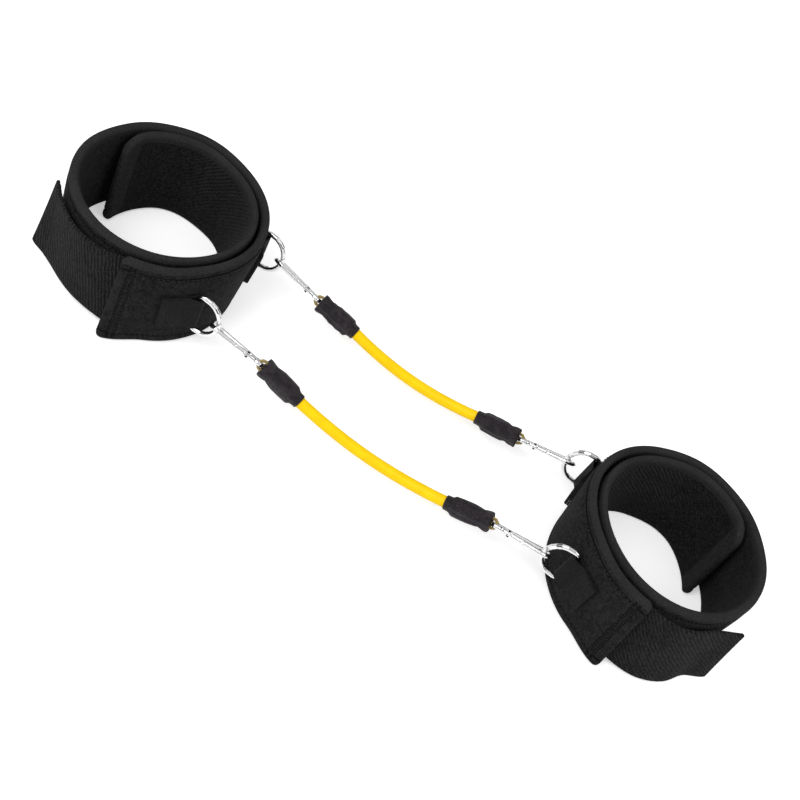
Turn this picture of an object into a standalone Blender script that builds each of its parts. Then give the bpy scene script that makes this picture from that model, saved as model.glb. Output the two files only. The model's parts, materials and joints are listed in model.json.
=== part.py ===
"""Lateral resistance band: two wrapped thigh cuffs joined by two elastic tubes.

Metres, +Z up. The cuffs stand on the floor plane Z = 0, side by side along X, and the
origin is on the floor midway between them. The left cuff is at -X and the right cuff is
its mirror image, turned a little about its own axis. Each cuff is a padded strip rolled
up on itself, with two D-rings that webbing tabs hold. Snap hooks at the ends of the two
tubes clip into the D-rings.
"""
import math

import bmesh
import bpy
from mathutils import Matrix, Vector

LEFT = -1
RIGHT = 1
SIDE_NAMES = {LEFT: "left", RIGHT: "right"}

# Clearances
SEAT_GAP = 0.0003
CUT_OVERRUN = 0.001

# Cuffs: where they stand and how the strip is rolled
CUFF_HALF_SPACING = 0.2178
CUFFS_MIDDLE_X = -0.0025
CUFF_AXIS_Y = 0.0077
CUFF_TURNS = {LEFT: 3.5, RIGHT: -3.5}
CUFF_HEIGHT = 0.0767
FLAP_RADIUS = 0.0762
FLAP_ANGLE = -84.0
WRAP_ANGLE = 600.0
STATION_ANGLE = 10.0
LINING_THICKNESS = 0.0010
FOAM_THICKNESS = 0.0049
FACE_THICKNESS = 0.0010
ROLL_GAP = 0.0009
SKIN_INSET = 0.0005
CURL_ANGLE = 45.0
CURL_TOP = 0.0030
CURL_BOTTOM = 0.0085
FLARE_ANGLE = 22.0
FLARE_BOTTOM = 0.0095
# The wall toward the other cuff leans out above its tabs' top edge and in below it
WALL_LEAN = 0.0080
WALL_LEAN_MIDDLE = 10.0
WALL_LEAN_HALF_WIDTH = 60.0

# Closure straps with their hook tape
STRAP_THICKNESS = 0.0023
STRAP_LOW = 0.0050
STRAP_HIGH = 0.0700
STRAP_ROOT_ANGLE = 18.0
STRAP_SWEEP_ANGLE = 68.0
STRAP_STATION_ANGLE = 5.0
STRAP_EDGE_TURNS = (20.0, 45.0, 70.0)
STRAP_HINGE_OFFSET = 0.0030
RISE_RUN_ANGLE = 30.0
STANDOFF_RUN_ANGLE = 25.0
STANDOFF_TOP = 0.0025
STANDOFF_BOTTOM = 0.0065
TIP_RUN_ANGLE = 22.0
TIP_TOP = 0.0040
TIP_BOTTOM = 0.0085
HOOK_TAPE_THICKNESS = 0.0009
HOOK_TAPE_START_ANGLE = 26.0
HOOK_TAPE_MARGIN = 0.0030

# D-rings and the webbing tabs that hold them
WEBBING_WIDTH = 0.0300
WEBBING_THICKNESS = 0.0013
TAB_LENGTH = 0.0270
# The folded tab's stations, as shares of its length: lower ply, fall to the upper ply, and the rest
TAB_LOWER_SHARES = (1.0, 0.8, 0.6, 0.4, 0.2, 0.1)
TAB_FALL_SHARES = (0.07, 0.13, 0.19, 0.25, 0.31, 0.37)
TAB_FALL_START = 0.02
TAB_FALL_RUN = 0.35
TAB_UPPER_SHARES = (0.5, 0.75, 1.0)
RING_WIRE_RADIUS = 0.0020
RING_DEPTH = 0.01915
RING_SLACK = 0.0006
RING_CORNER_RADIUS = 0.0030
RING_LEG = 0.0050
RING_HEIGHT = 0.0385
HOOK_BELOW_RING_MIDDLE = 0.0025
RING_ANGLES = {"front": -40.5, "rear": 28.5}

# Snap hooks, in the hook's own plane from its nose
HOOK_LENGTH = 0.0490
HOOK_WIRE_RADIUS = 0.0018
HOOK_NOSE_RADIUS = 0.0072
HOOK_NOSE_PLAY = 0.0009
EYE_WIRE_CIRCLE_RADIUS = 0.0038
NECK_HALF_WIDTH = 0.0021
NECK_FROM_EYE_CENTRE = 0.00513
NECK_SPREAD = 0.0003
LATCH_RUN_SHARE = 0.4
PIVOT_FROM_NOSE = 0.0340
PIVOT_OFFSET = 0.0034
GATE_LENGTH = 0.0126
LATCH_GAP = 0.0004
LATCH_TONGUE_LENGTH = 0.0023
LATCH_TONGUE_HALF = 0.00055
PIVOT_TONGUE_HALF = 0.0006
PIVOT_TONGUE_END = 0.0017
PIVOT_SHOULDER = 0.0026
GATE_SLOT_DEPTH = 0.0029
GATE_CHAMFER = 0.0003
# The gate's round heel, as shares of the wire's radius: along the gate, and its own radius
GATE_HEEL = ((-1.00, 0.50), (-0.85, 0.82), (-0.55, 1.00))
RIVET_RADIUS = 0.0008
RIVET_HEAD_RADIUS = 0.0013
RIVET_HEAD_HEIGHT = 0.0003
RIVET_CHAMFER = 0.0002
RIVET_DIMPLE_RADIUS = 0.0005
GATE_BORE_RADIUS = 0.00115
GATE_BORE_END = 0.0082
SPRING_WIRE_RADIUS = 0.00015
SPRING_PITCH = 0.0009
SPRING_TURNS = 4
SPRING_START = 0.0034
HOOK_DROOPS = {"front": math.radians(7.0), "rear": math.radians(14.0)}
HOOK_ROLL = math.radians(41.0)

# Tube ends: cord loop, ferrule and sleeve, measured along the sleeve's axis
LOOP_CORD_RADIUS = 0.0014
LOOP_KNOT_RADIUS = 0.0021
LOOP_LEG_OFFSET = 0.0024
LOOP_NECK_LENGTH = 0.0018
LOOP_SWELL = 0.0002
LOOP_BEND_START = 0.0006
LOOP_BOW_LENGTH = 0.0034
# A knot's stations past the first, as shares of its length and of its radius
KNOT_STATIONS = ((1.0, 0.45), (0.75, 1.0), (0.25, 1.0))
SLEEVE_DROOPS = {"front": math.radians(16.0), "rear": math.radians(11.0)}
SLEEVE_LENGTH = 0.0360
SLEEVE_OVER_EYE = 0.0010
SLEEVE_WALL = 0.0014
SLEEVE_MOUTH_RADIUS = 0.0062
# The sleeve's outer side: distance from its mouth, and how far it stands out from the body
SLEEVE_SIDE = (
    (0.0000, -0.0004),
    (0.0010, 0.0001),
    (0.0050, -0.0002),
    (0.0080, -0.0008),
    (0.0110, -0.0001),
    (0.0180, 0.0003),
    (0.0250, 0.0001),
)
SLEEVE_TAIL_LENGTH = 0.0065
SLEEVE_TAIL_WALL = 0.0008
SLEEVE_SHOULDER_LENGTH = 0.0016
SLEEVE_EDGE = 0.0004
FERRULE_START = 0.0070
FERRULE_WALL = 0.0020
FERRULE_SKIRT = 0.0170
FERRULE_THICKNESS = 0.0010
FERRULE_CHAMFER = 0.0006
KNOT_LENGTH = 0.0042
TUBE_RADIUS = 0.0044

# The tube's route between its sleeves: share of the span, and drop in metres
TUBE_ROUTE = (
    (0.06, 0.0018),
    (0.14, 0.0038),
    (0.24, 0.0058),
    (0.36, 0.0074),
    (0.50, 0.0081),
    (0.64, 0.0074),
    (0.76, 0.0058),
    (0.86, 0.0038),
    (0.94, 0.0018),
)
# Extra play at the rear band's right hook, where the loop of cuffs and bands is open
OPEN_PIVOT_PLAY = 0.0020

# Facet counts
NOSE_STEPS = 9
EYE_STEPS = 11
BOW_STEPS = 12
CORNER_TURNS = (30.0, 60.0, 90.0)
FOLD_STEPS = 8
TUBE_POINTS_PER_SPAN = 2
WIRE_SIDES = 10
RING_SIDES = 8
CORD_SIDES = 6
ROUND_SIDES = 16
HOLE_SIDES = 12
RIVET_SIDES = 8
SPRING_SIDES = 4
SPRING_POINTS_PER_TURN = 8

PAD_THICKNESS = LINING_THICKNESS + FOAM_THICKNESS + FACE_THICKNESS + 2 * SEAT_GAP
LAYER_PITCH = PAD_THICKNESS + ROLL_GAP
STRAP_RISE = STRAP_THICKNESS + 2 * SEAT_GAP - ROLL_GAP
FERRULE_BORE = TUBE_RADIUS + SEAT_GAP
FERRULE_RADIUS = FERRULE_BORE + FERRULE_THICKNESS
SLEEVE_BORE = FERRULE_RADIUS + SEAT_GAP

COLOURS = {
    "lining": ((0.016, 0.016, 0.017), 0.95, 0.0),
    "foam": ((0.030, 0.030, 0.031), 0.90, 0.0),
    "face": ((0.013, 0.013, 0.014), 0.90, 0.0),
    "strap": ((0.014, 0.014, 0.015), 0.92, 0.0),
    "hook_tape": ((0.010, 0.010, 0.011), 0.70, 0.0),
    "webbing": ((0.012, 0.012, 0.013), 0.80, 0.0),
    "chrome": ((0.80, 0.80, 0.82), 0.12, 1.0),
    "spring_steel": ((0.55, 0.55, 0.56), 0.30, 1.0),
    "sleeve": ((0.020, 0.018, 0.022), 0.60, 0.0),
    "ferrule": ((0.60, 0.60, 0.62), 0.35, 1.0),
    "loop": ((0.42, 0.33, 0.12), 0.60, 0.0),
    "tube": ((0.92, 0.66, 0.012), 0.35, 0.0),
}


def clear_scene():
    for obj in list(bpy.data.objects):
        bpy.data.objects.remove(obj, do_unlink=True)


def make_material(name, finish):
    colour, roughness, metallic = COLOURS[finish]
    material = bpy.data.materials.new(name)
    material.use_nodes = True
    shader = material.node_tree.nodes["Principled BSDF"]
    shader.inputs["Base Color"].default_value = (*colour, 1.0)
    shader.inputs["Roughness"].default_value = roughness
    shader.inputs["Metallic"].default_value = metallic
    material.diffuse_color = (*colour, 1.0)
    return material


def add_object(name, data, finish, matrix):
    obj = bpy.data.objects.new(name, data)
    bpy.context.scene.collection.objects.link(obj)
    obj.matrix_world = matrix
    obj.data.materials.clear()
    obj.data.materials.append(make_material(name, finish))
    return obj


def smooth_step(value):
    value = min(max(value, 0.0), 1.0)
    return value * value * (3.0 - 2.0 * value)


def finish_mesh(name, bm):
    """Turn a bmesh into a mesh with its faces pointing out and its round parts smooth."""
    bmesh.ops.recalc_face_normals(bm, faces=bm.faces)
    if bm.calc_volume(signed=True) < 0:
        bmesh.ops.reverse_faces(bm, faces=bm.faces)
    mesh = bpy.data.meshes.new(name)
    bm.to_mesh(mesh)
    bm.free()
    mesh.shade_smooth()
    mesh.set_sharp_from_angle(angle=math.radians(35.0))
    return mesh


def loft(name, rings, closed=False, split=False):
    """Join rings of points, each with as many, into one closed body.

    Split cuts the four-sided faces of a flat ring, which goes up one side and down the
    other, along matching diagonals. Stacked layers then stay parallel where they twist.
    """
    bm = bmesh.new()
    loops = [[bm.verts.new(point) for point in ring] for ring in rings]
    pairs = list(zip(loops, loops[1:]))
    if closed:
        pairs.append((loops[-1], loops[0]))
    for first, second in pairs:
        for i in range(len(first)):
            j = (i + 1) % len(first)
            if split and i < len(first) // 2:
                bm.faces.new((first[i], first[j], second[j]))
                bm.faces.new((first[i], second[j], second[i]))
            elif split:
                bm.faces.new((first[i], first[j], second[i]))
                bm.faces.new((first[j], second[j], second[i]))
            else:
                bm.faces.new((first[i], first[j], second[j], second[i]))
    if not closed:
        bm.faces.new(loops[0])
        bm.faces.new(loops[-1])
    return finish_mesh(name, bm)


def sweep_rings(path, radii, sides, normal):
    """Rings of a round wire along a path. The normal is square to the path's plane."""
    rings = []
    last = len(path) - 1
    closed = (path[0] - path[last]).length < 1e-9
    if closed:
        path = path[:-1]
        last -= 1
    for i, point in enumerate(path):
        if closed:
            ahead = path[(i + 1) % len(path)]
            behind = path[i - 1]
        else:
            ahead = path[min(i + 1, last)]
            behind = path[max(i - 1, 0)]
        tangent = (ahead - behind).normalized()
        across = normal.cross(tangent).normalized()
        up = tangent.cross(across)
        ring = []
        for k in range(sides):
            turn = math.tau * (k + 0.5) / sides
            ring.append(point + radii[i] * (math.cos(turn) * across + math.sin(turn) * up))
        rings.append(ring)
    return rings


def lathe(name, profile, sides):
    """Spin a closed (along, radius) outline about the local X axis."""
    bm = bmesh.new()
    verts = [bm.verts.new((along, radius, 0.0)) for along, radius in profile]
    edges = [bm.edges.new((verts[i - 1], verts[i])) for i in range(len(verts))]
    edges = [e for e in edges if max(v.co.y for v in e.verts) > 1e-9]
    bmesh.ops.spin(
        bm, geom=verts + edges, cent=(0, 0, 0), axis=(1, 0, 0), angle=math.tau, steps=sides
    )
    bmesh.ops.remove_doubles(bm, verts=bm.verts, dist=1e-6)
    loose = [e for e in bm.edges if not e.link_faces]
    bmesh.ops.delete(bm, geom=loose, context="EDGES")
    return finish_mesh(name, bm)


def box_mesh(low, high):
    bm = bmesh.new()
    bmesh.ops.create_cube(bm, size=1.0)
    size = [high[i] - low[i] for i in range(3)]
    middle = [(high[i] + low[i]) / 2 for i in range(3)]
    for vert in bm.verts:
        vert.co = Vector([middle[i] + vert.co[i] * size[i] for i in range(3)])
    return finish_mesh("cutter", bm)


def cylinder_mesh(radius, half_length, sides, axis):
    """A cylinder centred on the origin, along one of the local axes, with flats at its sides."""
    bm = bmesh.new()
    bmesh.ops.create_cone(
        bm, cap_ends=True, segments=sides, radius1=radius, radius2=radius, depth=2 * half_length
    )
    turn = {"Z": Matrix(), "X": Matrix.Rotation(math.pi / 2, 4, "Y")}[axis]
    bm.transform(turn @ Matrix.Rotation(math.pi / sides, 4, "Z"))
    return finish_mesh("cutter", bm)


def cut(name, mesh, cutters):
    """Take the cutter meshes, each with its matrix, out of a mesh."""
    base = bpy.data.objects.new(name, mesh)
    bpy.context.scene.collection.objects.link(base)
    tools = []
    for i, (cutter, matrix) in enumerate(cutters):
        tool = bpy.data.objects.new(f"{name}_cutter_{i}", cutter)
        tool.matrix_world = matrix
        tool.hide_render = True
        tool.display_type = "WIRE"
        bpy.context.scene.collection.objects.link(tool)
        modifier = base.modifiers.new(f"cut_{i}", "BOOLEAN")
        modifier.operation = "DIFFERENCE"
        modifier.solver = "EXACT"
        modifier.object = tool
        tools.append(tool)
    bpy.context.view_layer.update()
    depsgraph = bpy.context.evaluated_depsgraph_get()
    result = bpy.data.meshes.new_from_object(base.evaluated_get(depsgraph))
    result.name = name
    result.shade_smooth()
    result.set_sharp_from_angle(angle=math.radians(35.0))
    for obj in [base, *tools]:
        bpy.data.objects.remove(obj, do_unlink=True)
    return result


# Cuffs. A turn is the angle from the flap's end back along the roll, in degrees.
def outer_radius(turn):
    return FLAP_RADIUS - LAYER_PITCH * turn / 360.0


def flap_rise(turn):
    """How far the roll's last stretch lies over the closure strap's root."""
    return STRAP_RISE * (1.0 - smooth_step((turn - STRAP_ROOT_ANGLE) / RISE_RUN_ANGLE))


def surface_radius(turn):
    return outer_radius(turn) + flap_rise(turn)


def tab_top():
    return RING_HEIGHT + WEBBING_WIDTH / 2


def wall_lean(angle, z):
    """How far every wrap of the wall leans out at a height, least away from its middle."""
    away = abs((angle - WALL_LEAN_MIDDLE + 180.0) % 360.0 - 180.0)
    share = 1.0 + math.cos(math.pi * min(away / WALL_LEAN_HALF_WIDTH, 1.0))
    return WALL_LEAN * share / 2 * (z - tab_top()) / CUFF_HEIGHT


def pad_radius(turn, depth, z):
    """Radius at a depth below the strip's outer face, with its flared and curled ends."""
    low_share = 1.0 - z / CUFF_HEIGHT
    flare = FLARE_BOTTOM * low_share * (1.0 - smooth_step(turn / FLARE_ANGLE))
    curl_depth = CURL_TOP + (CURL_BOTTOM - CURL_TOP) * low_share
    curl = curl_depth * smooth_step((turn - WRAP_ANGLE + CURL_ANGLE) / CURL_ANGLE)
    return surface_radius(turn) + wall_lean(FLAP_ANGLE + turn, z) + flare - curl - depth


def cuff_point(side, radius, angle, z):
    """A point of a cuff from its polar place on the left one, in world space."""
    turned = math.radians(angle + CUFF_TURNS[side])
    x = radius * math.cos(turned)
    y = radius * math.sin(turned)
    return Vector((CUFFS_MIDDLE_X + side * (CUFF_HALF_SPACING - x), CUFF_AXIS_Y + y, z))


def pad_turns():
    """Stations along the strip, at half the step where its ends flare and curl."""
    turns = []
    for i in range(2 * round(WRAP_ANGLE / STATION_ANGLE) + 1):
        turn = i * STATION_ANGLE / 2
        at_an_end = turn < FLARE_ANGLE or turn > WRAP_ANGLE - CURL_ANGLE
        if i % 2 == 0 or at_an_end:
            turns.append(turn)
    return turns


def pad_layer_mesh(name, side, profile):
    rings = []
    for turn in pad_turns():
        ring = []
        for depth, z in profile:
            ring.append(cuff_point(side, pad_radius(turn, depth, z), FLAP_ANGLE + turn, z))
        rings.append(ring)
    return loft(name, rings, split=True)


def add_pad(side):
    """The three bonded layers of the padded strip."""
    low = SKIN_INSET
    high = CUFF_HEIGHT - SKIN_INSET
    foam_top = FACE_THICKNESS + SEAT_GAP
    foam_base = foam_top + FOAM_THICKNESS
    lining_top = foam_base + SEAT_GAP
    lining_base = lining_top + LINING_THICKNESS
    profiles = {
        "face": ((0.0, low), (0.0, high), (FACE_THICKNESS, high), (FACE_THICKNESS, low)),
        "foam": (
            (foam_top, 0.0),
            (foam_top, CUFF_HEIGHT),
            (foam_base, CUFF_HEIGHT),
            (foam_base, 0.0),
        ),
        "lining": ((lining_top, low), (lining_top, high), (lining_base, high), (lining_base, low)),
    }
    for layer, profile in profiles.items():
        name = f"{SIDE_NAMES[side]}_pad_{layer}"
        add_object(name, pad_layer_mesh(name, side, profile), layer, Matrix())


# Closure straps. Travel is the angle past the flap's end, in degrees.
def strap_inner_radius(travel, z):
    share = z / CUFF_HEIGHT
    stand = STANDOFF_BOTTOM + (STANDOFF_TOP - STANDOFF_BOTTOM) * share
    tip = TIP_BOTTOM + (TIP_TOP - TIP_BOTTOM) * share
    lift = stand * smooth_step((travel - strap_hinge_travel()) / STANDOFF_RUN_ANGLE)
    tip_start = STRAP_SWEEP_ANGLE - TIP_RUN_ANGLE
    lift += tip * smooth_step((travel - tip_start) / TIP_RUN_ANGLE)
    return outer_radius(360.0 - travel) + SEAT_GAP + lift


def strap_hinge_travel():
    return math.degrees(STRAP_HINGE_OFFSET / outer_radius(360.0))


def strap_hinge_radius():
    return outer_radius(360.0) + SEAT_GAP + STRAP_THICKNESS / 2


def strap_ring(side, travel, low, high, inner_drop, outer_drop):
    """A cross-section between two depths below the strap's outer face."""
    ring = []
    for drop, z in ((inner_drop, low), (inner_drop, high), (outer_drop, high), (outer_drop, low)):
        radius = strap_inner_radius(travel, z) + STRAP_THICKNESS - drop
        ring.append(cuff_point(side, radius, FLAP_ANGLE - travel, z))
    return ring


def strap_travels(start, end):
    count = max(2, round((end - start) / STRAP_STATION_ANGLE))
    return [start + (end - start) * i / count for i in range(count + 1)]


def add_closure_strap(side):
    """The sewn root, the free strap with its round hinge edge, and the hook tape."""
    prefix = SIDE_NAMES[side]
    hinge = strap_hinge_travel()
    half = STRAP_THICKNESS / 2
    degrees = math.degrees(1.0 / strap_hinge_radius())
    root_end = hinge - (half + SEAT_GAP) * degrees
    root_start = SEAT_GAP * degrees - STRAP_ROOT_ANGLE
    rings = []
    for travel in strap_travels(root_start, root_end):
        rings.append(strap_ring(side, travel, STRAP_LOW, STRAP_HIGH, STRAP_THICKNESS, 0.0))
    name = f"{prefix}_strap_root"
    add_object(name, loft(name, rings), "strap", Matrix())

    origin = cuff_point(side, strap_hinge_radius(), FLAP_ANGLE - hinge, 0.0)
    rings = []
    for turn in STRAP_EDGE_TURNS:
        back = half * math.cos(math.radians(turn))
        thin = half * (1.0 - math.sin(math.radians(turn)))
        travel = hinge - back * degrees
        edge = strap_ring(side, travel, STRAP_LOW, STRAP_HIGH, STRAP_THICKNESS - thin, thin)
        rings.append(edge)
    tape_end = STRAP_SWEEP_ANGLE - HOOK_TAPE_MARGIN * degrees
    travels = [*strap_travels(hinge, tape_end), STRAP_SWEEP_ANGLE]
    for travel in travels:
        rings.append(strap_ring(side, travel, STRAP_LOW, STRAP_HIGH, STRAP_THICKNESS, 0.0))
    add_moving(f"{prefix}_closure_strap", rings, "strap", origin)

    low = STRAP_LOW + HOOK_TAPE_MARGIN
    high = STRAP_HIGH - HOOK_TAPE_MARGIN
    top = STRAP_THICKNESS + SEAT_GAP
    rings = []
    for travel in [travel for travel in travels if HOOK_TAPE_START_ANGLE < travel <= tape_end]:
        rings.append(strap_ring(side, travel, low, high, top + HOOK_TAPE_THICKNESS, top))
    add_moving(f"{prefix}_hook_tape", rings, "hook_tape", origin)


def add_moving(name, rings, finish, origin):
    """A loft whose object has its origin on the joint's axis."""
    mesh = loft(name, [[point - origin for point in ring] for ring in rings], split=True)
    add_object(name, mesh, finish, Matrix.Translation(origin))


# D-rings and their webbing tabs
def ring_surface_radius(band):
    return surface_radius(RING_ANGLES[band] - FLAP_ANGLE)


def bar_height():
    """The bar's centre above the strip's face: one ply of webbing and two gaps below it."""
    return 2 * SEAT_GAP + WEBBING_THICKNESS + RING_WIRE_RADIUS


def bar_place(side, band):
    radius = ring_surface_radius(band) + bar_height()
    return cuff_point(side, radius, RING_ANGLES[band], RING_HEIGHT)


def tab_path():
    """The folded webbing's middle line: distance along the face, and height over it."""
    half = WEBBING_THICKNESS / 2
    lower = SEAT_GAP + half
    upper = lower + WEBBING_THICKNESS + SEAT_GAP
    wrap = RING_WIRE_RADIUS + SEAT_GAP + half
    centre = bar_height()
    path = [(TAB_LENGTH * share, lower) for share in TAB_LOWER_SHARES]
    for step in range(FOLD_STEPS + 1):
        turn = -math.pi / 2 - math.pi * step / FOLD_STEPS
        path.append((wrap * math.cos(turn), centre + wrap * math.sin(turn)))
    crest = centre + wrap
    for share in TAB_FALL_SHARES:
        fall = smooth_step((share - TAB_FALL_START) / TAB_FALL_RUN)
        path.append((TAB_LENGTH * share, crest + (upper - crest) * fall))
    path += [(TAB_LENGTH * share, upper) for share in TAB_UPPER_SHARES]
    return [Vector(point) for point in path]


def add_tab(side, band):
    """A length of webbing folded round the D-ring's bar and laid on the strip's face."""
    half = WEBBING_THICKNESS / 2
    high = tab_top()
    low = high - WEBBING_WIDTH
    reach = math.degrees(1.0 / (ring_surface_radius(band) + bar_height()))
    path = tab_path()
    rings = []
    for i, point in enumerate(path):
        along = (path[min(i + 1, len(path) - 1)] - path[max(i - 1, 0)]).normalized()
        across = Vector((-along.y, along.x)) * half
        ring = []
        for edge, z in ((-1, low), (-1, high), (1, high), (1, low)):
            place = point + edge * across
            angle = RING_ANGLES[band] - place.x * reach
            radius = surface_radius(angle - FLAP_ANGLE) + place.y
            ring.append(cuff_point(side, radius, angle, z))
        rings.append(ring)
    name = f"{SIDE_NAMES[side]}_{band}_tab"
    add_object(name, loft(name, rings), "webbing", Matrix())


def ring_half_height():
    return WEBBING_WIDTH / 2 + RING_SLACK / 2 + RING_WIRE_RADIUS


def bow_reach(height):
    """How far the bow's middle line is from the bar, at a height from the ring's middle."""
    return RING_LEG + (RING_DEPTH - RING_LEG) * math.sqrt(1.0 - (height / ring_half_height()) ** 2)


def d_ring_path():
    """The wire's middle line from its straight bar at X = 0 round the bow."""
    half = ring_half_height()
    corner = RING_CORNER_RADIUS
    path = [Vector((0.0, 0.0, z * (half - corner))) for z in (-1.0, -0.4, 0.4, 1.0)]
    for turn in CORNER_TURNS:
        angle = math.radians(180.0 - turn)
        x = corner + corner * math.cos(angle)
        z = half - corner + corner * math.sin(angle)
        path.append(Vector((x, 0.0, z)))
    for step in range(1, BOW_STEPS):
        z = half * math.cos(math.pi * step / BOW_STEPS)
        path.append(Vector((bow_reach(z), 0.0, z)))
    for turn in reversed(CORNER_TURNS):
        angle = math.radians(180.0 + turn)
        x = corner + corner * math.cos(angle)
        z = -half + corner + corner * math.sin(angle)
        path.append(Vector((x, 0.0, z)))
    path.append(path[0].copy())
    return path


def make_ring_mesh():
    path = d_ring_path()
    radii = [RING_WIRE_RADIUS] * len(path)
    rings = sweep_rings(path, radii, RING_SIDES, Vector((0, 1, 0)))
    return loft("d_ring", rings, closed=True)


def band_direction(side, band):
    """Level unit vector from this cuff's D-ring to the other cuff's."""
    return (bar_place(-side, band) - bar_place(side, band)).normalized()


def ring_frame(side, band):
    """World matrix of a D-ring, its origin on its bar and its bow toward the other cuff."""
    along = band_direction(side, band)
    turn = Matrix.Rotation(math.atan2(along.y, along.x), 4, "Z")
    return Matrix.Translation(bar_place(side, band)) @ turn


# Snap hooks. Local X runs from the D-ring's wire to the eye, Y to the spine side,
# and Z is square to the hook's plane. The origin is the middle of the D-ring's wire.
def ring_wire_from_nose():
    return 2 * HOOK_WIRE_RADIUS + HOOK_NOSE_PLAY + RING_WIRE_RADIUS


def eye_wire_from_nose():
    return HOOK_LENGTH - HOOK_WIRE_RADIUS


def from_nose(along, across):
    return Vector((along - ring_wire_from_nose(), across, 0.0))


def nose_centre():
    return from_nose(HOOK_WIRE_RADIUS + HOOK_NOSE_RADIUS, 0.0)


def pivot_point():
    return from_nose(PIVOT_FROM_NOSE, -PIVOT_OFFSET)


def gate_slant():
    """Angle between the gate and the hook's length: the gate's line touches the nose's bend."""
    to_nose = pivot_point() - nose_centre()
    return math.asin(HOOK_NOSE_RADIUS / to_nose.length) - math.atan2(-to_nose.y, to_nose.x)


def gate_direction():
    return Vector((-math.cos(gate_slant()), -math.sin(gate_slant()), 0.0))


def hook_path():
    """One bent wire: latch end, nose, spine, eye, and the stub that carries the gate."""
    pivot = pivot_point()
    toward_nose = gate_direction()
    latch = GATE_LENGTH + LATCH_GAP
    path = [pivot + toward_nose * (latch - LATCH_TONGUE_LENGTH)]
    path.append(pivot + toward_nose * (latch + LATCH_RUN_SHARE * (PIVOT_FROM_NOSE - latch)))
    slant = math.degrees(gate_slant())
    first = 270.0 - slant
    for i in range(NOSE_STEPS + 1):
        angle = math.radians(first - (2 * first - 360.0) * i / NOSE_STEPS)
        bend = Vector((math.cos(angle), math.sin(angle), 0.0))
        path.append(nose_centre() + HOOK_NOSE_RADIUS * bend)
    spine_end = Vector((pivot.x, -pivot.y, 0.0))
    path.append(path[-1].lerp(spine_end, 0.5))
    path.append(spine_end)
    eye_centre = from_nose(eye_wire_from_nose() - EYE_WIRE_CIRCLE_RADIUS, 0.0)
    opening = math.degrees(math.asin(NECK_HALF_WIDTH / EYE_WIRE_CIRCLE_RADIUS))
    neck = eye_centre - Vector((NECK_FROM_EYE_CENTRE, 0.0, 0.0))
    neck_side = Vector((0.0, NECK_HALF_WIDTH + NECK_SPREAD, 0.0))
    path.append(neck + neck_side)
    for i in range(EYE_STEPS + 1):
        angle = math.radians(180.0 - opening - (360.0 - 2 * opening) * i / EYE_STEPS)
        bend = Vector((math.cos(angle), math.sin(angle), 0.0))
        path.append(eye_centre + EYE_WIRE_CIRCLE_RADIUS * bend)
    path.append(neck - neck_side)
    path.append(pivot - toward_nose * (PIVOT_SHOULDER + 2 * SEAT_GAP))
    path.append(pivot + toward_nose * PIVOT_TONGUE_END)
    return path


def gate_frame():
    """Local X from the pivot to the nose along the gate, Z square to the hook's plane."""
    return Matrix.Translation(pivot_point()) @ Matrix.Rotation(math.pi + gate_slant(), 4, "Z")


def make_hook_mesh():
    path = hook_path()
    radii = [HOOK_WIRE_RADIUS] * len(path)
    body = loft("hook", sweep_rings(path, radii, WIRE_SIDES, Vector((0, 0, 1))))
    reach = HOOK_WIRE_RADIUS + CUT_OVERRUN
    side_reach = HOOK_WIRE_RADIUS + SEAT_GAP
    latch = GATE_LENGTH + LATCH_GAP
    frame = gate_frame()
    tongue_back = latch - LATCH_TONGUE_LENGTH - CUT_OVERRUN
    cutters = []
    for face in (-1, 1):
        flat = sorted((face * LATCH_TONGUE_HALF, face * reach))
        low = (tongue_back, -side_reach, flat[0])
        cutters.append((box_mesh(low, (latch, side_reach, flat[1])), frame))
        flat = sorted((face * PIVOT_TONGUE_HALF, face * reach))
        low = (-PIVOT_SHOULDER, -side_reach, flat[0])
        high = (PIVOT_TONGUE_END + CUT_OVERRUN, side_reach, flat[1])
        cutters.append((box_mesh(low, high), frame))
    hole = cylinder_mesh(RIVET_RADIUS + SEAT_GAP, reach, HOLE_SIDES, "Z")
    cutters.append((hole, frame))
    return cut("hook", body, cutters)


def make_gate_mesh():
    """The gate: a round bar, forked at the rivet, slotted at the latch, bored for its spring."""
    radius = HOOK_WIRE_RADIUS
    stations = [(along * radius, size * radius) for along, size in GATE_HEEL]
    stations.append((GATE_LENGTH - GATE_CHAMFER, radius))
    stations.append((GATE_LENGTH, radius - GATE_CHAMFER))
    path = [Vector((along, 0.0, 0.0)) for along, _ in stations]
    radii = [size for _, size in stations]
    bar = loft("gate", sweep_rings(path, radii, WIRE_SIDES, Vector((0, 0, 1))))
    reach = HOOK_WIRE_RADIUS + CUT_OVERRUN
    fork = PIVOT_TONGUE_HALF + SEAT_GAP
    slot = LATCH_TONGUE_HALF + SEAT_GAP
    slot_start = GATE_LENGTH + LATCH_GAP - LATCH_TONGUE_LENGTH - 2 * SEAT_GAP
    bore = cylinder_mesh(GATE_BORE_RADIUS, GATE_BORE_END / 2, HOLE_SIDES, "X")
    cutters = [
        (box_mesh((-reach, -reach, -fork), (GATE_SLOT_DEPTH, reach, fork)), Matrix()),
        (box_mesh((slot_start, -reach, -slot), (GATE_LENGTH + reach, reach, slot)), Matrix()),
        (cylinder_mesh(RIVET_RADIUS + SEAT_GAP, reach, HOLE_SIDES, "Z"), Matrix()),
        (bore, Matrix.Translation((GATE_BORE_END / 2, 0.0, 0.0))),
    ]
    return cut("gate", bar, cutters)


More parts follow.
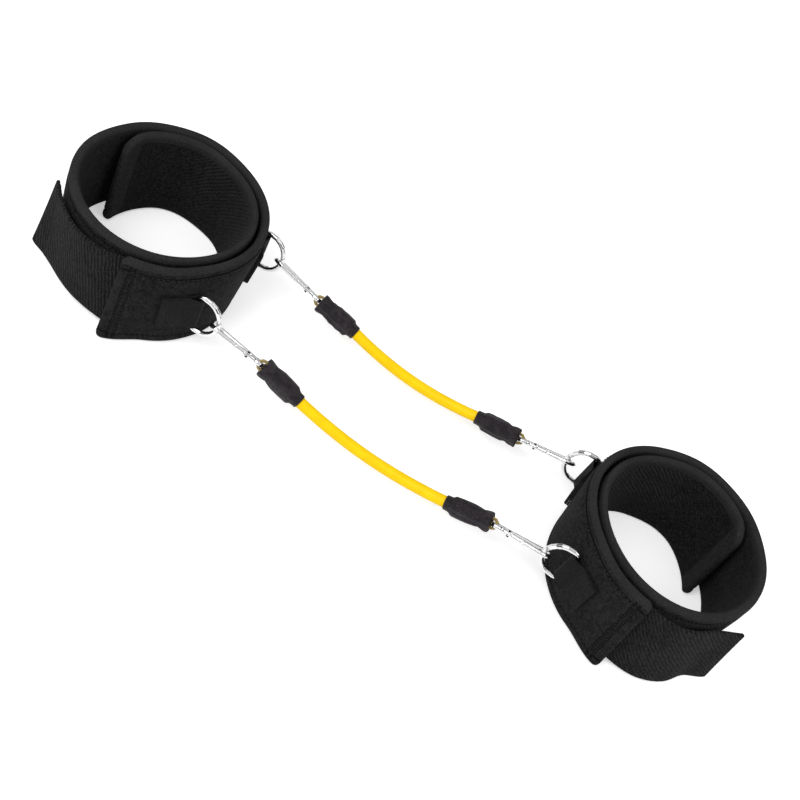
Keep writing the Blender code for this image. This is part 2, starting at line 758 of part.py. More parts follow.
def make_rivet_mesh():
    """A rivet with a flat head and a dimple at both ends."""
    grip = HOOK_WIRE_RADIUS + SEAT_GAP
    top = grip + RIVET_HEAD_HEIGHT
    half = (
        (grip, RIVET_RADIUS),
        (grip, RIVET_HEAD_RADIUS),
        (top, RIVET_HEAD_RADIUS - RIVET_CHAMFER),
        (top, RIVET_DIMPLE_RADIUS),
        (grip, 0.0),
    )
    profile = [(-along, radius) for along, radius in reversed(half)] + list(half)
    mesh = lathe("rivet", profile, RIVET_SIDES)
    mesh.transform(Matrix.Rotation(math.pi / 2, 4, "Y"))
    return mesh


def make_spring_mesh():
    """The gate's compression spring, an open coil along the gate's bore."""
    coil_radius = GATE_BORE_RADIUS - SEAT_GAP - SPRING_WIRE_RADIUS
    count = SPRING_TURNS * SPRING_POINTS_PER_TURN
    path = []
    for i in range(count + 1):
        turn = math.tau * i / SPRING_POINTS_PER_TURN
        along = SPRING_START + SPRING_PITCH * i / SPRING_POINTS_PER_TURN
        path.append(Vector((along, coil_radius * math.cos(turn), coil_radius * math.sin(turn))))
    print("least gap between the gate spring's turns:", SPRING_PITCH - 2 * SPRING_WIRE_RADIUS)
    radii = [SPRING_WIRE_RADIUS] * len(path)
    return loft("gate_spring", sweep_rings(path, radii, SPRING_SIDES, Vector((1, 0, 0))))


def drooping(level, droop):
    return math.cos(droop) * level - Vector((0.0, 0.0, math.sin(droop)))


def hook_frame(side, band):
    """World matrix of a hook that hangs in its D-ring, rolled and drooping to its band."""
    level = band_direction(side, band)
    place = bar_place(side, band) + bow_reach(HOOK_BELOW_RING_MIDDLE) * level
    place.z -= HOOK_BELOW_RING_MIDDLE
    if side == RIGHT and band == "rear":
        place -= OPEN_PIVOT_PLAY * level
    along = drooping(level, HOOK_DROOPS[band])
    spine = Vector((0.0, math.cos(HOOK_ROLL), -math.sin(HOOK_ROLL)))
    spine = (spine - spine.dot(along) * along).normalized()
    normal = along.cross(spine)
    frame = Matrix((along, spine, normal)).transposed().to_4x4()
    frame.translation = place
    return frame


def eye_place(side, band):
    """The middle of the wire at the end of the hook's eye, where the cord loop pulls."""
    along = eye_wire_from_nose() - ring_wire_from_nose()
    return hook_frame(side, band) @ Vector((along, 0.0, 0.0))


# Tube ends. Local X runs along the sleeve to the tube. The origin is on the eye's wire.
def mouth_start():
    return HOOK_WIRE_RADIUS - SLEEVE_OVER_EYE


def tube_start():
    knots = FERRULE_START + FERRULE_WALL + SEAT_GAP + KNOT_LENGTH
    return mouth_start() + knots + SEAT_GAP


def end_frame(side, band):
    """World matrix of a tube end, in the plane of its cord loop."""
    along = drooping(band_direction(side, band), SLEEVE_DROOPS[band])
    normal = hook_frame(side, band).to_3x3() @ Vector((0.0, 0.0, 1.0))
    normal = (normal - normal.dot(along) * along).normalized()
    across = normal.cross(along)
    frame = Matrix((along, across, normal)).transposed().to_4x4()
    frame.translation = eye_place(side, band)
    return frame


def make_sleeve_mesh():
    """The sleeve: a flared mouth, a full body and a narrow tail round the tube."""
    mouth = mouth_start()
    end = mouth + SLEEVE_LENGTH
    ferrule_end = mouth + FERRULE_START + FERRULE_WALL + FERRULE_SKIRT
    shoulder = end - SLEEVE_TAIL_LENGTH
    tail = shoulder + SLEEVE_SHOULDER_LENGTH
    body = SLEEVE_BORE + SLEEVE_WALL
    tail_bore = TUBE_RADIUS + SEAT_GAP
    tail_radius = tail_bore + SLEEVE_TAIL_WALL
    outline = [(mouth, SLEEVE_MOUTH_RADIUS)]
    outline += [(mouth + along, body + stand) for along, stand in SLEEVE_SIDE]
    outline += [
        (shoulder, body - SLEEVE_EDGE),
        (tail, tail_radius + SLEEVE_EDGE),
        (tail + SLEEVE_SHOULDER_LENGTH, tail_radius),
        (end - SLEEVE_EDGE, tail_radius),
        (end, tail_radius - SLEEVE_EDGE),
        (end, tail_bore),
        (tail, tail_bore),
        (ferrule_end + 2 * SEAT_GAP, SLEEVE_BORE),
        (mouth + FERRULE_START - SEAT_GAP, SLEEVE_BORE),
    ]
    return lathe("sleeve", outline, ROUND_SIDES)


def make_ferrule_mesh():
    """A metal cup crimped on the tube, with two holes in its end for the loop's legs."""
    start = mouth_start() + FERRULE_START
    inside = start + FERRULE_WALL
    end = inside + FERRULE_SKIRT
    outline = (
        (start, 0.0),
        (start, FERRULE_RADIUS - FERRULE_CHAMFER),
        (start + FERRULE_CHAMFER, FERRULE_RADIUS),
        (end, FERRULE_RADIUS),
        (end, FERRULE_BORE),
        (inside, FERRULE_BORE),
        (inside, 0.0),
    )
    cup = lathe("ferrule", outline, ROUND_SIDES)
    hole = cylinder_mesh(LOOP_CORD_RADIUS + SEAT_GAP, FERRULE_WALL, HOLE_SIDES, "X")
    cutters = []
    for leg in (-1, 1):
        place = Matrix.Translation((start + FERRULE_WALL / 2, 0.0, leg * LOOP_LEG_OFFSET))
        cutters.append((hole.copy(), place))
    return cut("ferrule", cup, cutters)


def make_loop_mesh():
    """The cord loop round the eye's wire, its legs knotted behind the ferrule's end."""
    bend = HOOK_WIRE_RADIUS + SEAT_GAP + LOOP_CORD_RADIUS
    wall_start = mouth_start() + FERRULE_START
    knot = wall_start + FERRULE_WALL + SEAT_GAP
    half = []
    for share, size in KNOT_STATIONS:
        half.append((knot + share * KNOT_LENGTH, LOOP_LEG_OFFSET, size * LOOP_KNOT_RADIUS))
    half += [
        (knot, LOOP_LEG_OFFSET, LOOP_CORD_RADIUS),
        (wall_start - SEAT_GAP, LOOP_LEG_OFFSET, LOOP_CORD_RADIUS),
        (wall_start - LOOP_NECK_LENGTH, LOOP_LEG_OFFSET + LOOP_SWELL, LOOP_CORD_RADIUS),
        (LOOP_BOW_LENGTH, bend - LOOP_SWELL, LOOP_CORD_RADIUS),
        (LOOP_BEND_START, bend, LOOP_CORD_RADIUS),
    ]
    for turn in (110.0, 135.0, 157.5):
        angle = math.radians(turn)
        half.append((bend * math.cos(angle), bend * math.sin(angle), LOOP_CORD_RADIUS))
    path = half + [(-bend, 0.0, LOOP_CORD_RADIUS)]
    path += [(along, -height, size) for along, height, size in reversed(half)]
    points = [Vector((along, 0.0, height)) for along, height, _ in path]
    radii = [size for _, _, size in path]
    return loft("cord_loop", sweep_rings(points, radii, CORD_SIDES, Vector((0, 1, 0))))


# Tubes
def smooth_points(route, per_span):
    """Points read from a smooth curve through the route's points."""
    padded = [2 * route[0] - route[1], *route, 2 * route[-1] - route[-2]]
    points = []
    for a, b, c, d in zip(padded, padded[1:], padded[2:], padded[3:]):
        for step in range(per_span):
            t = step / per_span
            pull = 0.5 * (
                2 * b + (c - a) * t + (2 * a - 5 * b + 4 * c - d) * t * t
                + (3 * b - a - 3 * c + d) * t ** 3
            )
            points.append(pull)
    points.append(route[-1])
    return points


def tube_route(band):
    """The route from inside one ferrule, out of its sleeve, down and up to the other."""
    ends = []
    for side in (LEFT, RIGHT):
        frame = end_frame(side, band)
        sleeve_end = mouth_start() + SLEEVE_LENGTH
        ends.append([frame @ Vector((x, 0.0, 0.0)) for x in (tube_start(), sleeve_end)])
    start, left_exit = ends[0]
    finish, right_exit = ends[1]
    route = [start, start.lerp(left_exit, 0.5), left_exit]
    for share, drop in TUBE_ROUTE:
        route.append(left_exit.lerp(right_exit, share) - Vector((0.0, 0.0, drop)))
    return route + [right_exit, right_exit.lerp(finish, 0.5), finish]


def add_tube(band):
    points = smooth_points(tube_route(band), TUBE_POINTS_PER_SPAN)
    curve = bpy.data.curves.new(f"{band}_tube", "CURVE")
    curve.dimensions = "3D"
    curve.bevel_depth = TUBE_RADIUS
    curve.bevel_resolution = 3
    curve.use_fill_caps = True
    spline = curve.splines.new("POLY")
    spline.points.add(len(points) - 1)
    for slot, point in zip(spline.points, points):
        slot.co = (*point, 1.0)
    add_object(f"{band}_tube", curve, "tube", Matrix())


def add_band_ends(meshes):
    """Every D-ring, hook and tube end, set in the frames that their joints use."""
    for band in RING_ANGLES:
        for side in (LEFT, RIGHT):
            prefix = f"{SIDE_NAMES[side]}_{band}"
            hook = hook_frame(side, band)
            end = end_frame(side, band)
            add_object(f"{prefix}_d_ring", meshes["ring"].copy(), "chrome", ring_frame(side, band))
            add_object(f"{prefix}_hook_body", meshes["hook"].copy(), "chrome", hook)
            gate = hook @ gate_frame()
            add_object(f"{prefix}_hook_gate", meshes["gate"].copy(), "chrome", gate)
            add_object(f"{prefix}_gate_spring", meshes["spring"].copy(), "spring_steel", gate)
            add_object(f"{prefix}_gate_rivet", meshes["rivet"].copy(), "chrome", gate)
            add_object(f"{prefix}_sleeve", meshes["sleeve"].copy(), "sleeve", end)
            add_object(f"{prefix}_ferrule", meshes["ferrule"].copy(), "ferrule", end)
            add_object(f"{prefix}_cord_loop", meshes["loop"].copy(), "loop", end)


def build():
    clear_scene()
    for side in (LEFT, RIGHT):
        add_pad(side)
        add_closure_strap(side)
        for band in RING_ANGLES:
            add_tab(side, band)
    meshes = {
        "ring": make_ring_mesh(),
        "hook": make_hook_mesh(),
        "gate": make_gate_mesh(),
        "spring": make_spring_mesh(),
        "rivet": make_rivet_mesh(),
        "sleeve": make_sleeve_mesh(),
        "ferrule": make_ferrule_mesh(),
        "loop": make_loop_mesh(),
    }
    add_band_ends(meshes)
    for band in RING_ANGLES:
        add_tube(band)


build()
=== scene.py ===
"""Looks for the lateral resistance band: two wrapped thigh cuffs joined by two elastic tubes.

Every size is in metres, in the same frame as the solids. The camera and the tubes come first.
"""
import json
from functools import reduce
from math import cos, degrees, exp, pi, radians, sin, sqrt, tau

import bmesh
import bpy
from mathutils import Matrix, Vector

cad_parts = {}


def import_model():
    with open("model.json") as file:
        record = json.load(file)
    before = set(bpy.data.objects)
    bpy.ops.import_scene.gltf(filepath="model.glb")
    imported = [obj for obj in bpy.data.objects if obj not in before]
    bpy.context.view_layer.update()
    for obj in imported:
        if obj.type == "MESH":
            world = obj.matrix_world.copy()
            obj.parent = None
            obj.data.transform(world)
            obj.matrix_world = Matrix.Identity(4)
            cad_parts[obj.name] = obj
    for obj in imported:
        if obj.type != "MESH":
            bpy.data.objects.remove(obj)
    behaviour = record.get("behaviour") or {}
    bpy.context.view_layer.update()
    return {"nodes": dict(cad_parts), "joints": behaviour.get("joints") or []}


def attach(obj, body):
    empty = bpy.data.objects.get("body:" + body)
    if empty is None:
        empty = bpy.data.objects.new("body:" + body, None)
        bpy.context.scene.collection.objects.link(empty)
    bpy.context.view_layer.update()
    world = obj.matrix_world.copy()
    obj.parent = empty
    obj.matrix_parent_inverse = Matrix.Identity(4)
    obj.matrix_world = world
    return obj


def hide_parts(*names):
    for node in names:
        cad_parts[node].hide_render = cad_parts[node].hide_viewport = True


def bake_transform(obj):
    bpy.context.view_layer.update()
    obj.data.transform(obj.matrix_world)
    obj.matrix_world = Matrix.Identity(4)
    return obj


# Camera, fitted to the photograph
TARGET = Vector((-0.0033, 0.0077, 0.0262))
ELEVATION = radians(47.96)
ROLL = radians(33.43)
CAMERA_DISTANCE = 0.8088
LENS = 49.14
SENSOR = 36.0

# Tubes: where they start and leave the sleeves, in metres, at the left and the right
TUBE_RADIUS = 0.0044
TUBE_ENDS = {
    "front": (
        ((-0.083632, -0.041679, 0.027016), (-0.062298, -0.042177, 0.020896)),
        ((0.084913, -0.045610, 0.027016), (0.063578, -0.045112, 0.020896)),
    ),
    "rear": (
        ((-0.081803, 0.046736, 0.023368), (-0.060019, 0.046132, 0.019132)),
        ((0.074288, 0.042406, 0.023368), (0.052504, 0.043010, 0.019132)),
    ),
}
TUBE_SIDES = 28
TUBE_SPAN_STEPS = 4
# Share of the span between the sleeves, and drop
TUBE_ROUTE = (
    (0.06, 0.0018), (0.14, 0.0038), (0.24, 0.0058),
    (0.36, 0.0074), (0.50, 0.0081), (0.64, 0.0074),
    (0.76, 0.0058), (0.86, 0.0038), (0.94, 0.0018),
)

# Cuffs, placed and rolled as the solids are
LEFT = -1
RIGHT = 1
SIDE_NAMES = {LEFT: "left", RIGHT: "right"}
BANDS = ("front", "rear")
CUFF_HALF_SPACING = 0.2178
CUFFS_MIDDLE_X = -0.0025
CUFF_AXIS_Y = 0.0077
CUFF_TURNS = {LEFT: 3.5, RIGHT: -3.5}
CUFF_HEIGHT = 0.0767
FLAP_RADIUS = 0.0762
FLAP_ANGLE = -84.0
WRAP_ANGLE = 600.0
PAD_THICKNESS = 0.0075
LAYER_PITCH = 0.0084
CURL_ANGLE = 45.0
CURL_TOP = 0.0030
CURL_BOTTOM = 0.0085
FLARE_ANGLE = 22.0
FLARE_BOTTOM = 0.0095
WALL_LEAN = 0.0080
WALL_LEAN_MIDDLE = 10.0
WALL_LEAN_HALF_WIDTH = 60.0
STRAP_RISE = 0.0020
RISE_RUN_ANGLE = 30.0
SEAT_GAP = 0.0003

# Fabric detail of the cuffs
PAD_STATION_ANGLE = 2.5
PAD_END_STEP = 0.0007
PAD_END_REACH = 0.0126
PAD_ROWS = 14
RIM_ROUND = 0.0034
RIM_STEPS = 5
RIM_HEM = 0.0060
RIM_PINCH = 0.0019
RIM_PINCH_START = 0.0600
RIM_PINCH_LEAST = 0.35
RIM_PINCH_REACH = 1.6
END_ROUND = 0.0034
END_CORNER = 0.0045
INNER_CORNER = 0.0160
INNER_HEM = 0.0140
FLAP_SKEW = {LEFT: 0.0030, RIGHT: 0.0045}
FLAP_SKEW_RUN = 0.0400
INNER_SKEW_BOTTOM = {LEFT: 0.0115, RIGHT: 0.0095}
INNER_SKEW_TOP = {LEFT: -0.0035, RIGHT: -0.0070}
INNER_SKEW_RUN = 0.0450
STITCH_HEIGHTS = (0.0080, 0.0688)
FLAP_STITCHES = (0.0070, 0.0098)
STITCHED_ANGLE = 350.0
STITCH_ROW_STEPS = (-0.0016, -0.0008, 0.0, 0.0008, 0.0016)
ROW_CLEARANCE = 0.0011
CHANNEL_DEPTH = 0.0009
CHANNEL_WIDTH = 0.0011
# Reach of the painted shade beside each stitch line
GROOVE_SHADE_REACH = 0.0011
RIB_PERIOD = 0.0028
RIB_SLANT = 48.0
RIBS_FADE = (0.610, 0.640)
RIBS_SINK = (0.015, 0.045)
RIB_PATCHES = (0.35, 0.60)
WOBBLE_START = 40.0
WOBBLE_RUN = 160.0
WOBBLE = 0.0009
# Waves round the wall: how many, their phase, their twist up the wall, and their share
WOBBLE_WAVES = (
    (4.0, 0.6, 0.0, 1.0),
    (7.0, 2.0, 22.0, 0.7),
)
STITCH_LENGTH = 0.0024
STITCH_PITCH = 0.0032
THREAD_RADIUS = 0.00032
THREAD_SIDES = 6
# Along a stitch: share of its length, share of its thickness, and how far it sinks
STITCH_STEPS = (
    (0.0, 0.4, 1.0), (0.18, 1.0, 0.1),
    (0.82, 1.0, 0.1), (1.0, 0.4, 1.0),
)

# Closure straps
STRAP_THICKNESS = 0.0023
STRAP_LOW = 0.0050
STRAP_HIGH = 0.0700
STRAP_ROOT_ANGLE = 18.0
STRAP_ROOT_INSET = 0.3
STRAP_SWEEP_ANGLE = 68.0
STRAP_HINGE_TRAVEL = 2.53
# Gap under the strap at its lower and upper edge: travel in degrees, and metres
STRAP_LIFT_LOW = {
    LEFT: (
        (-18.0, 0.0), (0.0, 0.0045), (10.0, 0.0028), (22.0, 0.0016),
        (46.0, 0.0018), (59.0, 0.0060), (68.0, 0.0138),
    ),
    RIGHT: (
        (-18.0, 0.0), (0.0, 0.0055), (10.0, 0.0080), (24.0, 0.0110),
        (40.0, 0.0112), (55.0, 0.0090), (68.0, 0.0175),
    ),
}
STRAP_LIFT_HIGH = {
    LEFT: ((-18.0, 0.0), (0.0, 0.0006), (22.0, 0.0036), (50.0, 0.0034), (68.0, 0.0034)),
    RIGHT: ((-18.0, 0.0), (0.0, 0.0006), (26.0, 0.0030), (50.0, 0.0018), (68.0, 0.0090)),
}
STRAP_RIB_SLANT = {LEFT: 12.0, RIGHT: 48.0}
STRAP_STATION_ANGLE = 1.5
STRAP_ROWS = 20
STRAP_SEAM_ANGLE = 59.0
STRAP_SEAM_DEPTH = 0.6
STRAP_SEAM_INSET = 0.0030
STRAP_EDGE_ROUND = 0.0011
THIN_EDGE_ROUND = 0.0005
STRAP_DROOP = {LEFT: 0.0030, RIGHT: 0.0040}
TIP_SHORT_LOW = {LEFT: 0.0015, RIGHT: 0.0030}
TIP_SHORT_HIGH = {LEFT: 0.0, RIGHT: 0.0075}
TIP_HOLLOW = 0.0015
TIP_CORNER = 0.0035
TIP_STEPS = (1.1, 0.7, 0.4, 0.2, 0.05)
TIP_THINNEST = 0.35
TAPE_THICKNESS = 0.0009
TAPE_START_ANGLE = 27.0
TAPE_MARGIN = 0.0030
TAPE_STEPS = 24

# Webbing tabs
RING_HEIGHT = 0.0385
RING_ANGLES = {"front": -40.5, "rear": 28.5}
WEBBING_WIDTH = 0.0300
WEBBING_THICKNESS = 0.0013
TAB_LENGTH = 0.0270
RING_WIRE_RADIUS = 0.0020
TAB_ROWS = 10
TAB_STEPS = 9
PLY_GAP = 0.0001
PLY_SETTLE = 0.0060
TAB_FOLD = 0.0040
TAB_SETTLE = 0.0100
FOLD_STEPS = 14
FALL_STEPS = 10
FALL_START = 0.02
FALL_SPAN = 0.38
FALL_RUN = 0.35
FLAT_SHARES = (0.5, 0.6, 0.7)
HEM_LENGTH = 0.0055
HEM_THICKNESS = 0.0011
# Metres past the hem's start, and the share of its thickness
HEM_STEPS = (
    (-0.0002, 0.0), (0.0, 0.55), (0.0004, 0.9),
    (0.0012, 1.0), (0.0040, 1.0), (0.0051, 0.85),
)
HEM_END = 0.3
TAB_STITCH_INSET = 0.0028
TAB_STITCH_START = 0.0125
TAB_STITCH_END = 0.0205
TAB_THREAD_SHARE = 0.4

# Sleeves and cord loops, measured along the sleeve from the middle of the eye's wire
MOUTH_START = 0.0008
SLEEVE_SIDES = 56
SLEEVE_SHARP_ANGLE = 60.0
SLEEVE_SEED_STEP = 1.7
SLEEVE_GIRTH_RADIUS = 0.0075
# Metres along, radius, and how loose the cloth is there
SLEEVE_OUTLINE = (
    (0.0070, 0.0060, 0.0), (0.0030, 0.0061, 0.0), (0.0006, 0.0063, 0.4),
    (0.0000, 0.0068, 0.8), (0.0004, 0.0073, 1.0), (0.0022, 0.0075, 1.0),
    (0.0045, 0.0073, 0.9), (0.0065, 0.0069, 0.8), (0.0080, 0.0066, 0.7),
    (0.0096, 0.0069, 0.9), (0.0120, 0.0073, 1.1), (0.0150, 0.0076, 1.0),
    (0.0185, 0.0077, 0.9), (0.0220, 0.0076, 0.9), (0.0255, 0.0075, 1.0),
    (0.0280, 0.0073, 1.1), (0.0293, 0.0070, 1.1), (0.0303, 0.0063, 0.9),
    (0.0312, 0.0058, 0.5), (0.0325, 0.0056, 0.2), (0.0345, 0.0055, 0.1),
    (0.0356, 0.0055, 0.1), (0.0360, 0.0052, 0.0), (0.0360, 0.0047, 0.0),
    (0.0318, 0.0047, 0.0), (0.0266, 0.0060, 0.0),
)
PLEAT_DEPTH = 0.0006
FOLD_DRIFT = 40.0
RIPPLES = 900.0
LOOP_BEND_CORD = 0.0013
LOOP_BEND = 0.0035
# From the knot to the eye: along, to the side, and the cord's radius
LOOP_HALF = (
    (0.0143, 0.0024, 0.0010), (0.0132, 0.0024, 0.0021), (0.0111, 0.0024, 0.0021),
    (0.0101, 0.0024, 0.0014), (0.0075, 0.0024, 0.0014), (0.0060, 0.0026, 0.0014),
    (0.0034, 0.0033, 0.00135), (0.0006, 0.0035, 0.0013),
)
LOOP_BEND_TURNS = (110.0, 135.0, 157.5)
LOOP_SPAN_STEPS = 6
STRANDS = 3
STRAND_SIDES = 8
STRAND_OFFSET = 0.50
STRAND_RADIUS = 0.49
STRAND_PITCH = 0.0072

# Faces that meet at more than this angle keep a sharp edge
SHARP_ANGLE = 50.0

# Colours in linear light, the dark and the light end of each, and the speckle's scale per metre
LATEX = ((0.90, 0.565, 0.001), (0.94, 0.635, 0.002))
KNIT = ((0.0030, 0.0030, 0.0034), (0.0235, 0.0233, 0.0243))
FOAM = ((0.0120, 0.0120, 0.0126), (0.0290, 0.0290, 0.0298))
LINING = ((0.0030, 0.0030, 0.0034), (0.0250, 0.0250, 0.0260))
STRAP_PILE = ((0.0034, 0.0034, 0.0038), (0.0250, 0.0250, 0.0262))
HOOK_TAPE = ((0.004, 0.004, 0.005), (0.016, 0.016, 0.017))
WEBBING = ((0.0035, 0.0035, 0.0041), (0.0160, 0.0160, 0.0173))
THREAD = ((0.006, 0.006, 0.007), (0.020, 0.020, 0.022))
NYLON = ((0.0080, 0.0055, 0.0085), (0.0440, 0.0350, 0.0410))
CORD = ((0.22, 0.155, 0.045), (0.52, 0.41, 0.17))
CHROME = (0.74, 0.74, 0.75, 1.0)
GRAIN_SCALE = 780.0
GRAIN_SPAN = (0.36, 0.64)

# Pitches of the weaves, in metres
KNIT_COURSE = 0.0011
KNIT_WALE = 0.0013
KNIT_BEND = 0.0004
PILE_LOOP = 0.0014
HOOK_PITCH = 0.0015
HOOK_ROW_PITCH = 0.0012
WEBBING_YARN = 0.0010
WEBBING_PICK = 0.0012
WEBBING_BEND = 0.0004
NYLON_YARN = 0.0007

# Chrome: the reach over which the wire's facets blend into one another in reflections
WIRE_SMOOTHING = 0.0009
BEVEL_SAMPLES = 16

WHITE = (1.0, 1.0, 1.0, 1.0)

# Floor: its half width, height, colour, and what camera, glossy and transmission rays add
FLOOR_SIZE = 4.0
FLOOR_HEIGHT = -0.0002
FLOOR_SHADE = 0.86
FLOOR_GLOW = 0.45

# Lamps: place, width and power
LAMPS = {
    "key": ((-0.6, -0.7, 1.2), 0.9, 12.0),
    "fill": ((0.9, -0.3, 0.9), 0.9, 5.0),
}

# Light: the room's strength, and how bright reflections show it by the sine of the height
ROOM_LIGHT = 0.55
REFLECTED_ROOM = (
    (0.00, 0.05), (0.26, 0.05), (0.44, 1.00), (0.60, 1.00),
    (0.69, 0.20), (0.76, 0.20), (0.86, 1.00),
)


def add_object(name, data):
    obj = bpy.data.objects.new(name, data)
    bpy.context.scene.collection.objects.link(obj)
    return obj


def add_camera():
    back = Vector((0.0, -cos(ELEVATION), sin(ELEVATION)))
    level = Vector((1.0, 0.0, 0.0))
    rise = back.cross(level)
    right = cos(ROLL) * level + sin(ROLL) * rise
    up = cos(ROLL) * rise - sin(ROLL) * level
    data = bpy.data.cameras.new("camera")
    data.sensor_width = SENSOR
    data.lens = LENS
    camera = add_object("camera", data)
    matrix = Matrix((right, up, back)).transposed().to_4x4()
    matrix.translation = TARGET + back * CAMERA_DISTANCE
    camera.matrix_world = matrix
    bpy.context.scene.camera = camera


# Materials
class Nodes:
    """Short calls for building the node tree of a material or world round its shader."""

    def __init__(self, owner, shader="Principled BSDF"):
        owner.use_nodes = True
        self.owner = owner
        self.tree = owner.node_tree
        self.shader = self.tree.nodes[shader]

    def feed(self, slot, value):
        """Gives an input a value, or the output of another node."""
        if isinstance(value, bpy.types.NodeSocket):
            self.tree.links.new(value, slot)
        else:
            slot.default_value = value

    def add(self, kind, inputs=(), **values):
        node = self.tree.nodes.new(kind)
        for key, value in values.items():
            setattr(node, key, value)
        for key, value in dict(inputs).items():
            self.feed(node.inputs[key], value)
        return node

    def set(self, **values):
        for key, value in values.items():
            self.feed(self.shader.inputs[key.replace("_", " ")], value)

    def maths(self, operation, *inputs):
        return self.add("ShaderNodeMath", enumerate(inputs), operation=operation).outputs[0]

    def times(self, first, second, added=0.0):
        """The product of two values, and a third one added to it."""
        return self.maths("MULTIPLY_ADD", first, second, added)

    def strip(self):
        """Metres along the piece and across it, from its UV map."""
        split = self.add("ShaderNodeSeparateXYZ", {0: self.place("UV")})
        return split.outputs["X"], split.outputs["Y"]

    def place(self, kind):
        return self.add("ShaderNodeTexCoord").outputs[kind]

    def wave(self, value, period, shift=0.0):
        """A sine from 0 to 1 with a period in metres."""
        angle = self.times(value, tau / period, shift)
        return self.times(self.maths("SINE", angle), 0.5, 0.5)

    def ramp(self, value, span, low, high):
        """A smooth change from low to high while the value crosses a span."""
        inputs = {"Value": value, "From Min": span[0], "From Max": span[1], "To Min": low, "To Max": high}
        return self.add("ShaderNodeMapRange", inputs, interpolation_type="SMOOTHSTEP").outputs["Result"]

    def groove_shade(self, value, lines):
        """1 on two lines across the UV map, falling to 0 at a short distance from them: the mask of the
        painted shade along the stitch grooves.
        """
        marks = []
        for line in lines:
            away = self.maths("ABSOLUTE", self.maths("SUBTRACT", value, line))
            marks.append(self.maths("MAXIMUM", self.times(away, -1.0 / GROOVE_SHADE_REACH, 1.0), 0.0))
        return self.maths("MAXIMUM", *marks)

    def noise(self, scale, detail=2.0):
        inputs = {"Scale": scale, "Detail": detail, "Vector": self.place("Object")}
        return self.add("ShaderNodeTexNoise", inputs).outputs["Fac"]

    def grainy(self, shade, amount):
        """A shade with yarn-sized speckle added to it."""
        speck = self.noise(GRAIN_SCALE, 3.0)
        return self.maths("ADD", shade, self.ramp(speck, GRAIN_SPAN, -amount, amount))

    def colours(self, factor, stops):
        """Colours between stops, each a position and a colour."""
        ramp = self.add("ShaderNodeValToRGB", {"Fac": factor})
        elements = ramp.color_ramp.elements
        while len(elements) < len(stops):
            elements.new(1.0)
        for element, (position, colour) in zip(elements, stops):
            element.position = position
            element.color = (*colour, 1.0)
        return ramp.outputs["Color"]

    def paint(self, factor, ends, start=0.3, end=0.7):
        """The base colour, between its dark and its light end."""
        self.set(Base_Color=self.colours(factor, ((start, ends[0]), (end, ends[1]))))

    def polish(self, factor, low, high):
        """The roughness, between two values."""
        self.set(Roughness=self.colours(factor, ((0.3, (low,) * 3), (0.7, (high,) * 3))))

    def cloth(self, roughness, specular, sheen=0.0, spread=0.5):
        self.set(Roughness=roughness, Specular_IOR_Level=specular)
        self.set(Sheen_Weight=sheen, Sheen_Roughness=spread)

    def rays(self, *kinds):
        """1 for rays of these kinds, and 0 for others."""
        path = self.add("ShaderNodeLightPath")
        seen = [path.outputs[f"Is {kind} Ray"] for kind in kinds]
        return reduce(lambda first, second: self.maths("MAXIMUM", first, second), seen)

    def bump(self, height, distance, strength=1.0):
        inputs = {"Height": height, "Distance": distance, "Strength": strength}
        self.set(Normal=self.add("ShaderNodeBump", inputs).outputs["Normal"])


def make_material(name, look, *values):
    """A new material, with one of the looks below."""
    nodes = Nodes(bpy.data.materials.new(name))
    look(nodes, *values)
    return nodes.owner


def latex_look(nodes):
    """Smooth yellow latex with a faint bloom."""
    nodes.paint(nodes.noise(90.0, 3.0), LATEX)
    nodes.set(Roughness=0.42, Specular_IOR_Level=0.12, Coat_Weight=0.03, Coat_Roughness=0.25)
    nodes.bump(nodes.noise(420.0), 0.00004)


def knit_look(nodes):
    """The pads' outer face: a fine black knit, with painted shade darkening it along the grooves of the
    stitch lines.
    """
    along, across = nodes.strip()
    bent = nodes.times(nodes.wave(across, KNIT_COURSE), KNIT_BEND, along)
    courses = nodes.wave(across, KNIT_COURSE, 1.6)
    loops = nodes.times(nodes.wave(bent, KNIT_WALE), courses)
    cloud = nodes.noise(38.0, 4.0)
    grain = nodes.noise(300.0, 3.0)
    mixed = nodes.times(grain, 0.5, nodes.times(loops, 0.2))
    shade = nodes.times(cloud, 0.3, mixed)
    # Painted shade: the knit's colour darkens along the stitch grooves
    groove_shade = nodes.groove_shade(across, STITCH_HEIGHTS)
    groove_shade = nodes.maths("MAXIMUM", groove_shade, nodes.groove_shade(along, FLAP_STITCHES))
    shade = nodes.times(shade, nodes.maths("SUBTRACT", 1.0, groove_shade))
    nodes.paint(nodes.grainy(shade, 0.10), KNIT, 0.27, 0.62)
    nodes.cloth(0.9, 0.06, sheen=0.015)
    height = nodes.maths("ADD", nodes.times(loops, 0.6), nodes.noise(240.0, 3.0))
    nodes.bump(height, 0.0006, 0.9)


def foam_look(nodes):
    """The rims: cut foam under a thin skin, a shade lighter than the fabric beside it."""
    along, _ = nodes.strip()
    cells = nodes.noise(900.0, 4.0)
    cloud = nodes.noise(30.0, 3.0)
    faint = nodes.times(nodes.wave(along, RIB_PERIOD), 0.05)
    shade = nodes.times(cells, 0.45, nodes.times(cloud, 0.5, faint))
    nodes.paint(nodes.grainy(shade, 0.10), FOAM, 0.2, 0.75)
    nodes.cloth(0.92, 0.08)
    nodes.bump(nodes.maths("ADD", cells, nodes.noise(160.0, 3.0)), 0.00025, 0.7)


